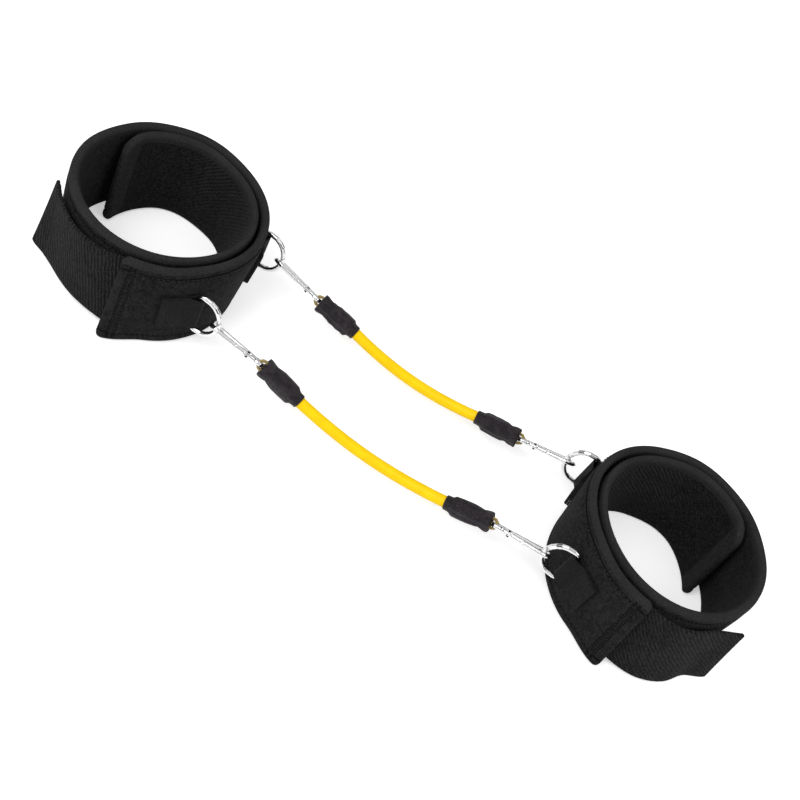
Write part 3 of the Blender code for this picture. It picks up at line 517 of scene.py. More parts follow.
def lining_look(nodes):
    """The pads' inner face: loop pile in slanted ribs, with a smooth band at the inner end."""
    along, across = nodes.strip()
    slant = radians(RIB_SLANT)
    square = nodes.times(along, cos(slant), nodes.times(across, sin(slant)))
    drift = nodes.times(nodes.noise(110.0, 3.0), 0.0026, square)
    plain = nodes.maths("GREATER_THAN", along, strip_length(WRAP_ANGLE) - INNER_HEM)
    pile = nodes.maths("SUBTRACT", 1.0, plain)
    clear = nodes.ramp(along, RIBS_FADE, 1.0, 0.3)
    clear = nodes.times(clear, nodes.ramp(across, RIBS_SINK, 0.3, 1.0))
    clear = nodes.times(clear, nodes.ramp(nodes.noise(45.0), RIB_PATCHES, 0.45, 1.0))
    ribs = nodes.times(nodes.wave(drift, RIB_PERIOD), nodes.times(clear, pile))
    loops = nodes.times(ribs, nodes.wave(across, PILE_LOOP))
    fuzz = nodes.noise(380.0, 4.0)
    shade = nodes.times(fuzz, 0.65, nodes.times(ribs, 0.5))
    shade = nodes.times(plain, 0.35, shade)
    nodes.paint(nodes.grainy(shade, 0.20), LINING, 0.22, 0.85)
    nodes.cloth(0.95, 0.06, sheen=0.02, spread=0.6)
    height = nodes.times(fuzz, 0.3, nodes.maths("ADD", ribs, loops))
    nodes.bump(height, 0.0006, 0.8)


def pile_look(nodes):
    """The closure straps: loop pile in slanted ribs. Their map's first value runs square to these."""
    square, _ = nodes.strip()
    drift = nodes.times(nodes.noise(120.0, 3.0), 0.0030, square)
    ribs = nodes.wave(drift, RIB_PERIOD)
    broken = nodes.times(ribs, nodes.noise(320.0, 3.0))
    fuzz = nodes.noise(420.0, 4.0)
    broken = nodes.times(broken, nodes.ramp(nodes.noise(45.0), RIB_PATCHES, 0.5, 1.0))
    shade = nodes.times(fuzz, 0.6, nodes.times(broken, 0.8))
    nodes.paint(nodes.grainy(shade, 0.20), STRAP_PILE, 0.22, 0.80)
    nodes.cloth(0.95, 0.06, sheen=0.02, spread=0.6)
    height = nodes.times(fuzz, 0.4, nodes.maths("ADD", ribs, broken))
    nodes.bump(height, 0.0006, 0.8)


def tape_look(nodes):
    """Moulded hook tape: short stiff hooks in rows."""
    along, across = nodes.strip()
    hooks = nodes.times(nodes.wave(along, HOOK_PITCH), nodes.wave(across, HOOK_ROW_PITCH))
    nodes.paint(hooks, HOOK_TAPE, 0.2, 0.8)
    nodes.cloth(0.6, 0.2)
    nodes.bump(hooks, 0.0006)


def webbing_look(nodes):
    """Woven webbing: ribs across the tab, crossed by fine yarns."""
    along, across = nodes.strip()
    yarns = nodes.wave(across, WEBBING_YARN)
    picks = nodes.wave(nodes.times(yarns, WEBBING_BEND, along), WEBBING_PICK)
    weave = nodes.times(yarns, picks)
    cloud = nodes.noise(70.0, 3.0)
    shade = nodes.times(cloud, 0.5, nodes.times(weave, 0.5))
    nodes.paint(nodes.grainy(shade, 0.14), WEBBING, 0.2, 0.7)
    nodes.cloth(0.75, 0.12)
    nodes.bump(weave, 0.0004, 0.9)


def thread_look(nodes):
    """Black sewing thread, a little shinier than the fabric."""
    twist = nodes.noise(1800.0)
    nodes.paint(twist, THREAD)
    nodes.cloth(0.6, 0.15)
    nodes.bump(twist, 0.00008)


def sleeve_look(nodes):
    """Dark purple-grey nylon, gathered, with a fine plain weave."""
    along, across = nodes.strip()
    weave = nodes.times(nodes.wave(along, NYLON_YARN), nodes.wave(across, NYLON_YARN))
    cloud = nodes.noise(190.0, 5.0)
    shade = nodes.times(cloud, 0.75, nodes.times(weave, 0.25))
    nodes.paint(nodes.grainy(shade, 0.09), NYLON, 0.32, 0.68)
    nodes.cloth(0.55, 0.25, sheen=0.03, spread=0.4)
    nodes.bump(nodes.maths("ADD", weave, nodes.noise(260.0, 3.0)), 0.0005, 0.9)


def cord_look(nodes):
    """Khaki-gold twisted cord with fine fibres."""
    fibres = nodes.noise(1500.0, 3.0)
    cloud = nodes.noise(260.0, 3.0)
    shade = nodes.times(cloud, 0.5, nodes.times(fibres, 0.5))
    nodes.paint(shade, CORD)
    nodes.cloth(0.7, 0.3, sheen=0.1)
    nodes.bump(fibres, 0.0001)


def steel_look(nodes, shade):
    """Drawn or turned metal that stays inside the hooks and sleeves."""
    nodes.set(Base_Color=(shade, shade, shade, 1.0), Metallic=1.0)
    nodes.polish(nodes.noise(500.0, 3.0), 0.25, 0.42)
    nodes.bump(nodes.noise(900.0), 0.00002)


def chrome_look(nodes):
    """Plated wire with faint handling marks, its facets blended in reflections."""
    nodes.set(Base_Color=CHROME, Metallic=1.0)
    nodes.polish(nodes.noise(160.0, 4.0), 0.13, 0.22)
    rounded = nodes.add("ShaderNodeBevel", {"Radius": WIRE_SMOOTHING}, samples=BEVEL_SAMPLES)
    nodes.set(Normal=rounded.outputs["Normal"])


# Meshes
def grid_mesh(name, rings, parts=None, closed=False, sharp=SHARP_ANGLE):
    """A closed body through rings of points, each with its UV place in metres.

    parts gives the material of each strip of faces along the rings. The last ring of a closed grid is
    its first one again, with places of its own. An open grid has a face across each end.
    """
    bm = bmesh.new()
    uv = bm.loops.layers.uv.new("strip")
    loops = [[bm.verts.new(point) for point, _ in ring] for ring in (rings[:-1] if closed else rings)]
    if closed:
        loops.append(loops[0])

    def add_face(corners, part):
        face = bm.faces.new([loops[s][k] for s, k in corners])
        face.material_index = part
        for loop, (s, k) in zip(face.loops, corners):
            loop[uv].uv = rings[s][k][1]

    count = len(rings[0])
    for s in range(len(rings) - 1):
        for k in range(count):
            after = (k + 1) % count
            add_face(((s, k), (s, after), (s + 1, after), (s + 1, k)), parts[k] if parts else 0)
    for s in () if closed else (0, len(rings) - 1):
        add_face([(s, k) for k in range(count)], parts[0] if parts else 0)
    return finish_mesh(name, bm, sharp)


def round_ring(bm, centre, radius, across, up, sides):
    """Vertices on a circle."""
    ring = []
    for k in range(sides):
        turn = tau * k / sides
        ring.append(bm.verts.new(centre + radius * (cos(turn) * across + sin(turn) * up)))
    return ring


def skin(bm, rings):
    """Faces between rings of vertices, and one across each end."""
    sides = len(rings[0])
    for first, second in zip(rings, rings[1:]):
        for k in range(sides):
            after = (k + 1) % sides
            bm.faces.new((first[k], first[after], second[after], second[k]))
    bm.faces.new(rings[0])
    bm.faces.new(rings[-1])


def direction(points, i):
    """The way a line of points runs at one of them."""
    return (points[min(i + 1, len(points) - 1)] - points[max(i - 1, 0)]).normalized()


def add_dash(bm, start, end, radius, out):
    """One stitch: a short thread that dives into the fabric at both ends."""
    along = end - start
    across = along.cross(out).normalized()
    rings = []
    for share, size, sink in STITCH_STEPS:
        middle = start + along * share - out * radius * sink
        rings.append(round_ring(bm, middle, size * radius, across, out, THREAD_SIDES))
    skin(bm, rings)


def smooth_step(value):
    value = min(max(value, 0.0), 1.0)
    return value * value * (3.0 - 2.0 * value)


# Cuffs. A turn is the angle from the flap's end back along the roll, in degrees.
def outer_radius(turn):
    return FLAP_RADIUS - LAYER_PITCH * turn / 360.0


def surface_radius(turn):
    run = smooth_step((turn - STRAP_ROOT_ANGLE) / RISE_RUN_ANGLE)
    return outer_radius(turn) + STRAP_RISE * (1.0 - run)


def lean_place(angle):
    """0 where the wall leans the most, and 1 at the edge of the leaning part."""
    return abs((angle - WALL_LEAN_MIDDLE + 180.0) % 360.0 - 180.0) / WALL_LEAN_HALF_WIDTH


def wall_lean(angle, z):
    share = 1.0 + cos(pi * min(lean_place(angle), 1.0))
    return WALL_LEAN * share / 2 * (z - RING_HEIGHT - WEBBING_WIDTH / 2) / CUFF_HEIGHT


def wall_wobble(angle, z):
    """The soft wall's small waves on the far side, alike for every wrap."""
    share = ((angle - WOBBLE_START) % 360.0) / WOBBLE_RUN
    if share >= 1.0:
        return 0.0
    turn = radians(angle)
    wave = sum(size * sin(n * turn + phase + twist * z) for n, phase, twist, size in WOBBLE_WAVES)
    return WOBBLE * wave * sin(pi * share) ** 2


def pad_radius(turn, depth, z):
    low_share = 1.0 - z / CUFF_HEIGHT
    flare = FLARE_BOTTOM * low_share * (1.0 - smooth_step(turn / FLARE_ANGLE))
    curl_depth = CURL_TOP + (CURL_BOTTOM - CURL_TOP) * low_share
    curl = curl_depth * smooth_step((turn - WRAP_ANGLE + CURL_ANGLE) / CURL_ANGLE)
    angle = FLAP_ANGLE + turn
    soft = wall_lean(angle, z) + wall_wobble(angle, z)
    return surface_radius(turn) + soft + flare - curl - depth


def cuff_point(side, radius, angle, z):
    turned = radians(angle + CUFF_TURNS[side])
    x = radius * cos(turned)
    y = radius * sin(turned)
    return Vector((CUFFS_MIDDLE_X + side * (CUFF_HALF_SPACING - x), CUFF_AXIS_Y + y, z))


def cuff_out(side, angle):
    return cuff_point(side, 1.0, angle, 0.0) - cuff_point(side, 0.0, angle, 0.0)


def strip_length(turn):
    """Metres along the strip's middle from its flap end."""
    middle = FLAP_RADIUS - PAD_THICKNESS / 2 - LAYER_PITCH * turn / 720.0
    return radians(turn) * middle


def turn_at(length):
    return degrees(length / (FLAP_RADIUS - PAD_THICKNESS / 2))


def dip(distance):
    """How deep a stitch line presses into the fabric at a distance from it."""
    return CHANNEL_DEPTH * exp(-((distance / CHANNEL_WIDTH) ** 2))


def pad_dip(length, z):
    depth = max(dip(z - line) for line in STITCH_HEIGHTS)
    if STITCH_HEIGHTS[0] <= z <= STITCH_HEIGHTS[1]:
        depth = max([depth] + [dip(length - line) for line in FLAP_STITCHES])
    return depth


def pad_rows():
    """Heights of the rows up the strip's sides, closer together at the stitch lines."""
    near = [line + step for line in STITCH_HEIGHTS for step in STITCH_ROW_STEPS]
    rows = [RIM_ROUND + (CUFF_HEIGHT - 2 * RIM_ROUND) * i / PAD_ROWS for i in range(PAD_ROWS + 1)]
    rows = [row for row in rows if all(abs(row - line) > ROW_CLEARANCE for line in near)]
    return sorted(rows + near)


def rim_arc(height, quarters):
    """Two quarter circles round a rim, each given by its middle's depth and its first angle."""
    points = []
    for middle, first in quarters:
        for i in range(1, RIM_STEPS + 1):
            angle = radians(first - 90.0 * i / (RIM_STEPS + 1))
            depth = middle + RIM_ROUND * cos(angle)
            points.append((depth, height + RIM_ROUND * sin(angle), 1))
    return points


def pad_section():
    """Points round the strip's cross-section: depth, height, and the number of their material."""
    rows = pad_rows()
    points = [(0.0, z, 0) for z in rows]
    points += rim_arc(CUFF_HEIGHT - RIM_ROUND, ((RIM_ROUND, 180.0), (PAD_THICKNESS - RIM_ROUND, 90.0)))
    for z in reversed(rows):
        hem = z > CUFF_HEIGHT - RIM_HEM or z <= RIM_HEM
        points.append((PAD_THICKNESS, z, 1 if hem else 2))
    points += rim_arc(RIM_ROUND, ((PAD_THICKNESS - RIM_ROUND, 0.0), (RIM_ROUND, -90.0)))
    return points


def pad_turns():
    end = turn_at(PAD_END_REACH)
    steps = round(PAD_END_REACH / PAD_END_STEP)
    first = [end * (i + 0.2) / steps for i in range(steps)]
    count = round((WRAP_ANGLE - 2 * end) / PAD_STATION_ANGLE)
    middle = [end + (WRAP_ANGLE - 2 * end) * i / count for i in range(count + 1)]
    last = [WRAP_ANGLE - turn for turn in reversed(first)]
    return first + middle + last


def rim_pinch(angle, z):
    """How far the rim's outer shoulder draws back, which opens the gap between the wraps."""
    near = smooth_step(RIM_PINCH_REACH - lean_place(angle))
    share = RIM_PINCH_LEAST + (1.0 - RIM_PINCH_LEAST) * near
    return RIM_PINCH * share * smooth_step((z - RIM_PINCH_START) / (CUFF_HEIGHT - RIM_PINCH_START))


def corner_cut(length, radius):
    """What a round corner takes off the height at a length from the end."""
    return radius - sqrt(radius ** 2 - max(radius - length, 0.0) ** 2)


def end_shape(turn):
    """The share of the thickness left near the strip's ends, and the lowest and highest point."""
    inner = WRAP_ANGLE - turn < turn
    length = strip_length(WRAP_ANGLE) - strip_length(turn) if inner else strip_length(turn)
    thick = sqrt(1.0 - max(1.0 - length / END_ROUND, 0.0) ** 2)
    low = corner_cut(length, END_CORNER)
    high = CUFF_HEIGHT - corner_cut(length, INNER_CORNER if inner else END_CORNER)
    return thick, low, high


def pad_angle(side, turn, z):
    """Both ends lean: their lower corners reach further round."""
    low_share = 1.0 - z / CUFF_HEIGHT
    share = 1.0 - smooth_step(strip_length(turn) / FLAP_SKEW_RUN)
    flap = FLAP_SKEW[side] * share * low_share
    left = strip_length(WRAP_ANGLE) - strip_length(turn)
    inner = INNER_SKEW_TOP[side] + (INNER_SKEW_BOTTOM[side] - INNER_SKEW_TOP[side]) * low_share
    inner *= 1.0 - smooth_step(left / INNER_SKEW_RUN)
    return FLAP_ANGLE + turn + degrees((inner - flap) / FLAP_RADIUS)


def add_pad(side, materials):
    """The padded strip, rolled: knit outside, foam rims and ribbed pile inside."""
    section = pad_section()
    rings = []
    for turn in pad_turns():
        thick, low, high = end_shape(turn)
        length = strip_length(turn)
        ring = []
        for depth, z, part in section:
            sunk = depth
            if depth == 0.0:
                sunk += pad_dip(length, z)
            outer_share = max(1.0 - 2.0 * depth / PAD_THICKNESS, 0.0)
            sunk += rim_pinch(FLAP_ANGLE + turn, z) * outer_share
            sunk = PAD_THICKNESS / 2 + (sunk - PAD_THICKNESS / 2) * thick
            height = low + (high - low) * z / CUFF_HEIGHT
            radius = pad_radius(turn, sunk, height)
            point = cuff_point(side, radius, pad_angle(side, turn, height), height)
            ring.append((point, (length, z)))
        rings.append(ring)
    # The last face of each side, next to a rim, is foam too
    parts = [part for _, _, part in section]
    rows = len(pad_rows())
    parts[rows - 1] = 1
    parts[2 * rows + 2 * RIM_STEPS - 1] = 1
    name = SIDE_NAMES[side]
    pad = add_piece(f"{name}_pad", grid_mesh(f"{name}_pad", rings, parts), materials[0])
    for material in materials[1:]:
        pad.data.materials.append(material)
    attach(pad, f"{name}_cuff")
    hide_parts(f"{name}_pad_face", f"{name}_pad_foam", f"{name}_pad_lining")


def stitch_line(bm, place_of, start, end):
    """Stitches at a steady pitch; place_of gives the surface point and its outward way."""
    count = max(1, round((end - start) / STITCH_PITCH))
    pitch = (end - start) / count
    for i in range(count):
        first = start + pitch * (i + 0.5) - STITCH_LENGTH / 2
        point, out = place_of(first)
        after, _ = place_of(first + STITCH_LENGTH)
        add_dash(bm, point, after, THREAD_RADIUS, out)


def add_cuff_thread(side, material):
    """The stitch lines of a pad's outer face and of its two tabs."""
    bm = bmesh.new()
    sunk = CHANNEL_DEPTH - THREAD_RADIUS

    def place_of(length, z):
        turn = turn_at(length)
        angle = pad_angle(side, turn, z)
        return cuff_point(side, pad_radius(turn, sunk, z), angle, z), cuff_out(side, angle)

    end = FLAP_RADIUS * radians(STITCHED_ANGLE)
    for z in STITCH_HEIGHTS:
        stitch_line(bm, lambda length: place_of(length, z), FLAP_STITCHES[0], end)
    for length in FLAP_STITCHES:
        stitch_line(bm, lambda z: place_of(length, z), *STITCH_HEIGHTS)
    for band in BANDS:
        add_tab_stitches(bm, side, band)
    name = SIDE_NAMES[side]
    thread = add_piece(f"{name}_cuff_thread", finish_mesh("thread", bm), material)
    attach(thread, f"{name}_cuff")


# Closure straps. Travel is the angle past the flap's end, in degrees.
def read_curve(stations, place):
    """A smooth curve through (place, value) stations."""
    last = len(stations) - 1
    i = max(j for j in range(last) if stations[j][0] <= max(place, stations[0][0]))

    def slope(j):
        (a, low), (b, high) = stations[max(j - 1, 0)], stations[min(j + 1, last)]
        return (high - low) / (b - a)

    (a, low), (b, high) = stations[i], stations[i + 1]
    t = (place - a) / (b - a)
    rise = (b - a) * (slope(i) * t * (1.0 - t) ** 2 - slope(i + 1) * t * t * (1.0 - t))
    return low + (high - low) * smooth_step(t) + rise


def strap_share(z):
    return (z - STRAP_LOW) / (STRAP_HIGH - STRAP_LOW)


def strap_radius(side, travel, z):
    """The strap's inner face, over the wrap under it."""
    share = strap_share(z)
    low = read_curve(STRAP_LIFT_LOW[side], travel)
    high = read_curve(STRAP_LIFT_HIGH[side], travel)
    return outer_radius(360.0 - travel) + SEAT_GAP + low + (high - low) * share


def strap_point(side, travel, z, over):
    """A point of the strap above its inner face; its free end droops and is a little hollow."""
    past = max(travel - STRAP_HINGE_TRAVEL, 0.0) / (STRAP_SWEEP_ANGLE - STRAP_HINGE_TRAVEL)
    share = strap_share(z)
    short = TIP_SHORT_LOW[side] + (TIP_SHORT_HIGH[side] - TIP_SHORT_LOW[side]) * share
    short += TIP_HOLLOW * 4.0 * share * (1.0 - share)
    angle = FLAP_ANGLE - travel + degrees(short * past ** 2 / FLAP_RADIUS)
    radius = strap_radius(side, travel, z) + over
    return cuff_point(side, radius, angle, z - STRAP_DROOP[side] * past ** 0.5)


def flat_section(low, high, thickness, rows, rounding):
    """Points round a flat strip: drop from its outer face, and height."""
    heights = [low + rounding + (high - low - 2 * rounding) * i / rows for i in range(rows + 1)]
    half = thickness / 2
    edge = [(cos(pi * i / 4), sin(pi * i / 4)) for i in (1, 2, 3)]
    points = [(0.0, z) for z in heights]
    points += [(half * (1.0 - drop), high - rounding + rounding * rise) for drop, rise in edge]
    points += [(thickness, z) for z in reversed(heights)]
    points += [(half * (1.0 + drop), low + rounding - rounding * rise) for drop, rise in edge]
    return points


def strap_travels():
    """Stations along the strap, closer together at its tip."""
    span = STRAP_SWEEP_ANGLE + STRAP_ROOT_ANGLE
    count = round(span / STRAP_STATION_ANGLE)
    start = -STRAP_ROOT_ANGLE + STRAP_ROOT_INSET
    travels = [start + (span - STRAP_ROOT_INSET) * i / count for i in range(count)]
    return travels + [STRAP_SWEEP_ANGLE - short for short in TIP_STEPS]


def add_strap(side, material):
    """The closure strap, from its sewn root to its tip."""
    name = SIDE_NAMES[side]
    half = STRAP_THICKNESS / 2
    section = flat_section(STRAP_LOW, STRAP_HIGH, STRAP_THICKNESS, STRAP_ROWS, STRAP_EDGE_ROUND)
    slant = radians(STRAP_RIB_SLANT[side])
    rings = []
    for travel in strap_travels():
        near = radians(STRAP_SWEEP_ANGLE - travel) * FLAP_RADIUS
        thin = 1.0
        if near < half:
            thin = max(TIP_THINNEST, sqrt(1.0 - (1.0 - near / half) ** 2))
        seam = radians(travel - STRAP_SEAM_ANGLE) * FLAP_RADIUS
        cut = corner_cut(near, TIP_CORNER)
        run = side * radians(travel) * FLAP_RADIUS
        ring = []
        for drop, z in section:
            sunk = half + (drop - half) * thin
            if drop == 0.0:
                sunk += STRAP_SEAM_DEPTH * dip(seam)
            height = z + cut * (1.0 - 2.0 * strap_share(z))
            point = strap_point(side, travel, height, STRAP_THICKNESS - sunk)
            ring.append((point, (run * cos(slant) + z * sin(slant), z)))
        rings.append(ring)
    strap = add_piece(f"{name}_pile_strap", grid_mesh("pile_strap", rings), material)
    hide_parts(f"{name}_strap_root", f"{name}_closure_strap")
    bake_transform(strap)


def add_hook_tape(side, material):
    """The hook tape on the closure strap's inner face."""
    name = SIDE_NAMES[side]
    low = STRAP_LOW + TAPE_MARGIN
    high = STRAP_HIGH - TAPE_MARGIN
    section = flat_section(low, high, TAPE_THICKNESS, STRAP_ROWS, THIN_EDGE_ROUND)
    span = STRAP_SWEEP_ANGLE - degrees(TAPE_MARGIN / FLAP_RADIUS) - TAPE_START_ANGLE
    rings = []
    for i in range(TAPE_STEPS + 1):
        travel = TAPE_START_ANGLE + span * i / TAPE_STEPS
        run = radians(travel) * FLAP_RADIUS
        rings.append([(strap_point(side, travel, z, -SEAT_GAP - drop), (run, z)) for drop, z in section])
    patch = add_piece(f"{name}_hook_patch", grid_mesh("hook_patch", rings), material)
    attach(patch, f"{name}_strap")
    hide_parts(f"{name}_hook_tape")


def add_strap_thread(side, material):
    """The stitch line across the closure strap near its tip."""
    name = SIDE_NAMES[side]
    bm = bmesh.new()
    over = STRAP_THICKNESS - STRAP_SEAM_DEPTH * CHANNEL_DEPTH + THREAD_RADIUS
    out = cuff_out(side, FLAP_ANGLE - STRAP_SEAM_ANGLE)

    def place_of(z):
        return strap_point(side, STRAP_SEAM_ANGLE, z, over), out

    stitch_line(bm, place_of, STRAP_LOW + STRAP_SEAM_INSET, STRAP_HIGH - STRAP_SEAM_INSET)
    seam = add_piece(f"{name}_strap_thread", finish_mesh("strap_thread", bm), material)
    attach(seam, f"{name}_strap")


# Webbing tabs
def tab_base(band):
    return surface_radius(RING_ANGLES[band] - FLAP_ANGLE)


def bar_height():
    return 2 * SEAT_GAP + WEBBING_THICKNESS + RING_WIRE_RADIUS


def tab_line():
    """The folded webbing's middle line: along the face, over it, and the hem's share there."""
    half = WEBBING_THICKNESS / 2
    upper = 3 * half + 2 * PLY_GAP
    wrap = RING_WIRE_RADIUS + SEAT_GAP + half
    centre = bar_height()
    line = []
    for i in range(TAB_STEPS):
        along = TAB_LENGTH * (1.0 - i / TAB_STEPS)
        settled = smooth_step((along - TAB_LENGTH / TAB_STEPS) / PLY_SETTLE)
        line.append((along, half + SEAT_GAP + (PLY_GAP - SEAT_GAP) * settled, 0.0))
    for step in range(FOLD_STEPS + 1):
        turn = -pi / 2 - pi * step / FOLD_STEPS
        line.append((wrap * cos(turn), centre + wrap * sin(turn), 0.0))
    crest = centre + wrap
    for i in range(1, FALL_STEPS + 1):
        share = FALL_START + FALL_SPAN * i / FALL_STEPS
        fall = smooth_step((share - FALL_START) / FALL_RUN)
        line.append((TAB_LENGTH * share, crest + (upper - crest) * fall, 0.0))
    line += [(TAB_LENGTH * share, upper, 0.0) for share in FLAT_SHARES]
    line += [(TAB_LENGTH - HEM_LENGTH + along, upper, hem) for along, hem in HEM_STEPS]
    return line + [(TAB_LENGTH, upper, HEM_END)]


def tab_point(side, band, along, over, z):
    """A point over the wall: upright at the ring's bar, and flat on the wall at the free end."""
    angle = RING_ANGLES[band] - degrees(along / (tab_base(band) + bar_height()))
    lean = wall_lean(angle, z) * smooth_step((along - TAB_FOLD) / TAB_SETTLE)
    return cuff_point(side, surface_radius(angle - FLAP_ANGLE) + lean + over, angle, z)


def add_tab(side, band, material):
    """A length of webbing folded round the D-ring's bar, with a turned hem at its free end."""
    line = tab_line()
    low = RING_HEIGHT - WEBBING_WIDTH / 2
    section = flat_section(low, low + WEBBING_WIDTH, WEBBING_THICKNESS, TAB_ROWS, THIN_EDGE_ROUND)
    rings = []
    points = [Vector(station[:2]) for station in line]
    run = 0.0
    for i, (point, (_, _, hem)) in enumerate(zip(points, line)):
        way = direction(points, i)
        out = Vector((-way.y, way.x))
        level = out.y > 0.5
        if level:
            out = Vector((0.0, 1.0))
        if i > 0:
            run += (point - points[i - 1]).length
        ring = []
        for drop, z in section:
            step = WEBBING_THICKNESS / 2 - drop
            if level:
                step += HEM_THICKNESS * hem * (1.0 - drop / WEBBING_THICKNESS)
            spot = point + out * step
            ring.append((tab_point(side, band, spot.x, spot.y, z), (run, z)))
        rings.append(ring)
    name = SIDE_NAMES[side]
    tab = add_piece(f"{name}_{band}_webbing", grid_mesh("webbing", rings), material)
    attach(tab, f"{name}_cuff")
    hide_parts(f"{name}_{band}_tab")


def add_tab_stitches(bm, side, band):
    """A stitched rectangle that holds both plies to the pad."""
    low = RING_HEIGHT - WEBBING_WIDTH / 2 + TAB_STITCH_INSET
    high = RING_HEIGHT + WEBBING_WIDTH / 2 - TAB_STITCH_INSET
    over = 2 * PLY_GAP + 2 * WEBBING_THICKNESS + TAB_THREAD_SHARE * THREAD_RADIUS
    out = cuff_out(side, RING_ANGLES[band])

    def place_of(along, z):
        return tab_point(side, band, along, over, z), out

    for z in (low, high):
        stitch_line(bm, lambda along: place_of(along, z), TAB_STITCH_START, TAB_STITCH_END)
    for along in (TAB_STITCH_START, TAB_STITCH_END):
        stitch_line(bm, lambda z: place_of(along, z), low, high)


# Sleeves and cord loops
def end_frame(frame, side, band):
    """World matrix of a tube end: its origin on the hook's eye, local X along the sleeve."""
    joints = {joint["name"]: joint for joint in frame["joints"]}
    prefix = f"{SIDE_NAMES[side]}_{band}"
    origin = Vector(joints[f"{prefix}_loop_swing"]["pos_m"])
    exit_point = Vector(TUBE_ENDS[band][0 if side == LEFT else 1][1])
    along = (exit_point - origin).normalized()
    normal = Vector(joints[f"{prefix}_gate_open"]["axis"])
    normal = (normal - normal.dot(along) * along).normalized()
    across = normal.cross(along)
    matrix = Matrix((along, across, normal)).transposed().to_4x4()
    matrix.translation = origin
    return matrix


def pleat(along, turn, seed):
    """Soft lengthwise folds that drift round the sleeve, with ripples across them in places."""
    drift = FOLD_DRIFT * along + seed
    folds = 0.6 * sin(5.0 * turn + drift) + 0.5 * sin(9.0 * turn - 1.4 * drift)
    ripple = 0.5 * sin(RIPPLES * along + 2.0 * sin(2.0 * turn + seed) + seed)
    return folds + ripple * sin(3.0 * turn + seed) ** 2


def add_sleeve(frame, side, band, material, seed):
    matrix = end_frame(frame, side, band)
    rings = []
    for k in range(SLEEVE_SIDES):
        turn = tau * k / SLEEVE_SIDES
        ring = []
        for along, radius, loose in SLEEVE_OUTLINE:
            size = radius + PLEAT_DEPTH * loose * pleat(along, turn, seed)
            x = MOUTH_START + along
            point = matrix @ Vector((x, size * cos(turn), size * sin(turn)))
            ring.append((point, (x, turn * SLEEVE_GIRTH_RADIUS)))
        rings.append(ring)
    rings.append([(point, (x, tau * SLEEVE_GIRTH_RADIUS)) for point, (x, _) in rings[0]])
    prefix = f"{SIDE_NAMES[side]}_{band}"
    mesh = grid_mesh("sleeve", rings, closed=True, sharp=SLEEVE_SHARP_ANGLE)
    sleeve = add_piece(f"{prefix}_sleeve_cover", mesh, material)
    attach(sleeve, f"{prefix}_tube_end")
    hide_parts(f"{prefix}_sleeve")


def loop_line():
    """The cord's middle line from knot to knot: along, to the side, and its radius."""
    half = [Vector(point) for point in LOOP_HALF]
    for turn in LOOP_BEND_TURNS:
        angle = radians(turn)
        half.append(Vector((LOOP_BEND * cos(angle), LOOP_BEND * sin(angle), LOOP_BEND_CORD)))
    middle = [Vector((-LOOP_BEND, 0.0, LOOP_BEND_CORD))]
    other = [Vector((point.x, -point.y, point.z)) for point in reversed(half)]
    return smooth_points(half + middle + other, LOOP_SPAN_STEPS)


def add_cord_loop(frame, side, band, material):
    """Three strands twisted round each other, through the hook's eye and knotted at both ends."""
    matrix = end_frame(frame, side, band)
    line = loop_line()
    points = [Vector(station[:2]) for station in line]
    bm = bmesh.new()
    for strand in range(STRANDS):
        run = 0.0
        centres = []
        for i, point in enumerate(line):
            if i > 0:
                run += (points[i] - points[i - 1]).length
            way = direction(points, i)
            across = Vector((-way.y, 0.0, way.x))
            turn = tau * (strand / STRANDS + run / STRAND_PITCH)
            offset = cos(turn) * across + sin(turn) * Vector((0.0, 1.0, 0.0))
            spot = Vector((point.x, 0.0, point.y)) + STRAND_OFFSET * point.z * offset
            centres.append((matrix @ spot, STRAND_RADIUS * point.z))
        add_strand(bm, centres)
    prefix = f"{SIDE_NAMES[side]}_{band}"
    loop = add_piece(f"{prefix}_twisted_loop", finish_mesh("twisted_loop", bm), material)
    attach(loop, f"{prefix}_tube_end")
    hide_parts(f"{prefix}_cord_loop")


def add_strand(bm, centres):
    """A closed round strand through its centres, each with its radius."""
    points = [point for point, _ in centres]
    across = direction(points, 0).orthogonal()
    rings = []
    for i, (point, radius) in enumerate(centres):
        along = direction(points, i)
        across = (across - across.dot(along) * along).normalized()
        rings.append(round_ring(bm, point, radius, across, along.cross(across), STRAND_SIDES))
    skin(bm, rings)


# Tubes
def smooth_points(route, per_span):
    """Points read from a smooth curve through the route's points."""
    padded = [2 * route[0] - route[1], *route, 2 * route[-1] - route[-2]]
    points = []
    for a, b, c, d in zip(padded, padded[1:], padded[2:], padded[3:]):
        for step in range(per_span):
            t = step / per_span
            pull = 0.5 * (
                2 * b + (c - a) * t + (2 * a - 5 * b + 4 * c - d) * t * t
                + (3 * b - a - 3 * c + d) * t ** 3
            )
            points.append(pull)
    points.append(route[-1])
    return points


def tube_points(band):
    left, right = TUBE_ENDS[band]
    start, left_exit = (Vector(point) for point in left)
    finish, right_exit = (Vector(point) for point in right)
    route = [start, start.lerp(left_exit, 0.5), left_exit]
    for share, drop in TUBE_ROUTE:
        route.append(left_exit.lerp(right_exit, share) - Vector((0.0, 0.0, drop)))
    route += [right_exit, right_exit.lerp(finish, 0.5), finish]
    return smooth_points(route, TUBE_SPAN_STEPS)


def tube_mesh(name, points):
    """A closed round tube along points that lie in a nearly level plane."""
    bm = bmesh.new()
    rings = []
    for i, point in enumerate(points):
        along = direction(points, i)
        across = along.cross(Vector((0.0, 0.0, 1.0))).normalized()
        rings.append(round_ring(bm, point, TUBE_RADIUS, across, across.cross(along), TUBE_SIDES))
    skin(bm, rings)
    return finish_mesh(name, bm)


